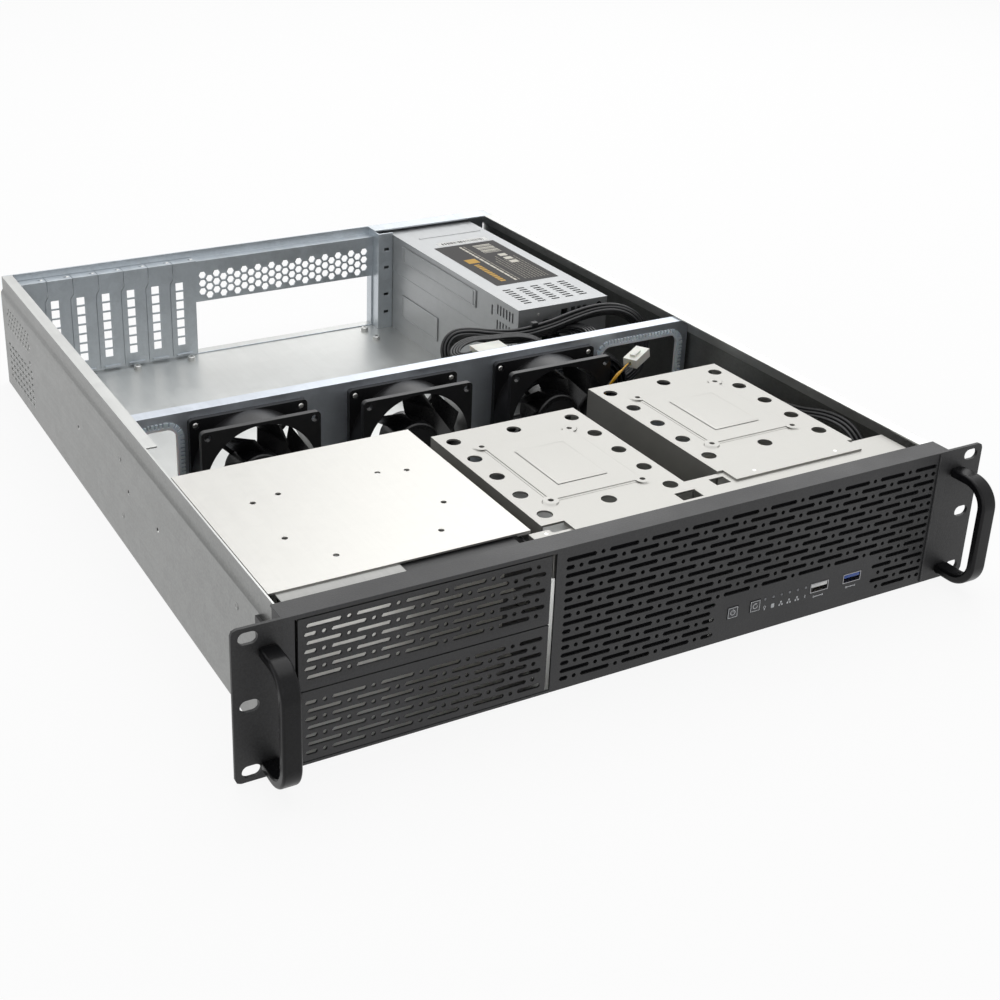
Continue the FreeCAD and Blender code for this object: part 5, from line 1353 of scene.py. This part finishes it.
def flat_piece(name, x, y, z, thick, finish, radius=0.3):
    """A thin film lying on a face that looks up."""
    piece = block(name, x, y, (z, z + thick))
    choose_faces(piece, facing("Z"))
    bpy.ops.mesh.inset(thickness=radius * MM, depth=0)
    done()
    piece.data.materials.append(FINISHES[finish])
    return piece


class CASE_OT_supply(bpy.types.Operator):
    """Adds the supply's plain label, its sticker, its pressed beads and its front screw"""

    bl_idname = "case.supply"
    bl_label = "Power supply details"

    def execute(self, context):
        top = SUPPLY_TOP
        films = [flat_piece("label_ground", (126, 182), (378, 480), top, 0.12, "label_black")]
        lift = top + 0.12
        chance = random.Random(11)

        def dashes(x, y, wide, finish, long=(1.6, 4.2), apart=0.9):
            """A row of short bars along Y, in place of a line of print."""
            place = y[0]
            while place < y[1] - 1:
                end = min(place + chance.uniform(*long), y[1])
                films.append(flat_piece("label_dash", (x, x + wide), (place, end), lift, 0.04, finish, 0.08))
                place = end + apart

        films.append(flat_piece("label_square", (133, 143), (433, 443), lift, 0.04, "label_gold"))
        dashes(134.5, (386, 429), 4.6, "label_gold", (2.6, 3.4), 1.0)
        dashes(146.0, (384, 474), 2.0, "label_pale", (3.0, 9.0))
        dashes(149.6, (384, 474), 1.2, "label_grey", (3.0, 9.0))
        for k in range(8):
            dashes(155.5 + 2.9 * k, (384, 432 + 5 * (k % 3)), 0.9, "label_grey")
        for k in range(3):
            y = (440 - 9 * k, 446 - 9 * k)
            films.append(flat_piece("label_field", (166, 173), y, lift, 0.05, "label_pale", 0.1))
        for k in range(9):
            y = (452 + 2.4 * k, 452 + 2.4 * k + 0.7 + 0.5 * (k % 3))
            films.append(flat_piece("label_stripe", (158, 174), y, lift, 0.04, "label_pale", 0.1))
        finished(smooth(join("supply_label", films)), None, "supply_steel", "case")

        sheet = [flat_piece("sticker_ground", (133.6, 180), (482.5, 491), top, 0.1, "sticker_white")]
        chance = random.Random(5)
        x = 137.0
        while x < 176:
            wide = chance.choice((0.5, 0.9, 1.4))
            stripe = (x, x + wide), (484.6, 489.2)
            sheet.append(flat_piece("sticker_stripe", *stripe, top + 0.1, 0.03, "label_black", 0.1))
            x += wide + chance.choice((0.7, 1.1))
        finished(smooth(join("supply_sticker", sheet)), None, "supply_steel", "case")

        line = round_edges(block("supply_bead", (127, 186), (507.4, 509.4), (83.7, 84.5)), 0.38, 3)
        finished(smooth(line), FINISHES["supply_steel"], "supply_steel", "case")

        beads = []
        for y, z in (((385.5, 508.0), (65.6, 79.6)), ((445.5, 508.5), (16.4, 36.6))):
            bead = block("side_bead", (SUPPLY_SIDE - 0.65, SUPPLY_SIDE), y, z)
            recess(bead, facing("X", -1), 1.5, 0.0)
            subtract(bead, block("bead_core", (110, 114), (y[0] + 1.5, y[1] - 1.5), (z[0] + 1.5, z[1] - 1.5)))
            beads.append(round_edges(bead, 0.3, 2, 50))
        seam = round_edges(block("side_seam", (112.1, 112.6), (324.5, 548), (52.2, 53.0)), 0.2, 1)
        beads.append(seam)
        finished(smooth(join("supply_side_beads", beads)), FINISHES["supply_steel"], "supply_steel", "case")

        piece = screws_at("supply_screw", pan_screw(2.6, 1.0, 1.2, 0.6), [(129.8, SUPPLY_FRONT, 78.4)], FRONT)
        finished(piece, FINISHES["bright_screw"], "bright_screw", "case")
        hole = rod("supply_port_ring", "Y", (183.6, SUPPLY_FRONT - 0.4, 78.8), 2.1, 0.6, 24)
        recess(hole, facing("Y", -1), 0.5, -0.4)
        finished(smooth(hole), FINISHES["black_screw"], "black_screw", "case")
        return {"FINISHED"}


# Toothed edging of the two cable openings


TOOTH_PITCH, TOOTH_GAP, TOOTH_DEPTH = 2.7, 1.25, 3.4
TOOTH_ROOT = 0.75  # how far outside the opening's edge the teeth begin
FAN_WALL_MIDDLE = 251.6


def tooth_gaps(x, z, radius):
    """Thin blocks across the edging, square to its line, one per tooth."""
    pieces = []
    reach = TOOTH_ROOT + TOOTH_DEPTH / 2

    def add_gap(px, pz, nx, nz):
        clear()
        place = at(px + nx * reach, FAN_WALL_MIDDLE, pz + nz * reach)
        bpy.ops.mesh.primitive_cube_add(size=1, location=place)
        piece = bpy.context.object
        piece.scale = (TOOTH_GAP * MM, 6 * MM, TOOTH_DEPTH * MM)
        piece.rotation_euler = (0, math.atan2(nx, nz), 0)
        pieces.append(named("tooth_gap"))

    x0, x1 = x
    z0, z1 = z
    step = x0 + radius
    while step < x1 - radius:
        add_gap(step, z1, 0, 1)
        add_gap(step, z0, 0, -1)
        step += TOOTH_PITCH
    step = z0 + radius
    while step < z1 - radius:
        add_gap(x0, step, -1, 0)
        add_gap(x1, step, 1, 0)
        step += TOOTH_PITCH
    left, right, low, high = x0 + radius, x1 - radius, z0 + radius, z1 - radius
    for cx, cz, first in ((right, high, 0), (left, high, 90), (left, low, 180), (right, low, 270)):
        for k in range(4):
            turn = math.radians(first + 90 * (k + 0.5) / 4)
            nx, nz = math.cos(turn), math.sin(turn)
            add_gap(cx + nx * radius, cz + nz * radius, nx, nz)
    return join("tooth_gaps", pieces)


class CASE_OT_trims(bpy.types.Operator):
    """Cuts the teeth of the clear edging round the two cable openings"""

    bl_idname = "case.trims"
    bl_label = "Edge trims"

    def execute(self, context):
        for side, x in (("left", (-204, -178)), ("right", (136.5, 204))):
            node = "edge_trim_" + side
            piece = merged_copy(node, node + "_teeth")
            subtract(piece, tooth_gaps(x, (14.0, 77.4), 8.0))
            finished(smooth(piece), FINISHES["trim_nylon"], "trim_nylon", "case", node)
        return {"FINISHED"}


# Panel in the sidebar


class CASE_PT_panel(bpy.types.Panel):
    """Lists the steps and the sizes and colours of the case"""

    bl_label = "Server case"
    bl_idname = "CASE_PT_panel"
    bl_space_type = "VIEW_3D"
    bl_region_type = "UI"
    bl_category = "Server case"

    def draw(self, context):
        for operator in OPERATORS:
            self.layout.operator(operator.bl_idname)
        for group in (context.scene.case_sizes, context.scene.case_colours):
            for key in group.bl_rna.properties.keys():
                if key not in ("rna_type", "name"):
                    self.layout.prop(group, key)


OPERATORS = [
    CASE_OT_finishes,
    CASE_OT_stage,
    CASE_OT_leads,
    CASE_OT_sheets,
    CASE_OT_front,
    CASE_OT_controls,
    CASE_OT_screws,
    CASE_OT_fans,
    CASE_OT_supply,
    CASE_OT_trims,
]
CLASSES = [CaseSizes, CaseColours] + OPERATORS + [CASE_PT_panel]


def register():
    for item in CLASSES:
        bpy.utils.register_class(item)
    bpy.types.Scene.case_sizes = bpy.props.PointerProperty(type=CaseSizes)
    bpy.types.Scene.case_colours = bpy.props.PointerProperty(type=CaseColours)


def unregister():
    del bpy.types.Scene.case_sizes
    del bpy.types.Scene.case_colours
    for item in reversed(CLASSES):
        bpy.utils.unregister_class(item)


def main():
    register()
    bpy.context.scene.view_settings.view_transform = "Standard"
    bpy.ops.case.finishes()
    bpy.ops.case.stage()
    bpy.ops.case.leads()
    bpy.ops.case.sheets()
    bpy.ops.case.front()
    bpy.ops.case.controls()
    bpy.ops.case.screws()
    bpy.ops.case.fans()
    bpy.ops.case.supply()
    bpy.ops.case.trims()
    clear()


if __name__ == "__main__":
    main()
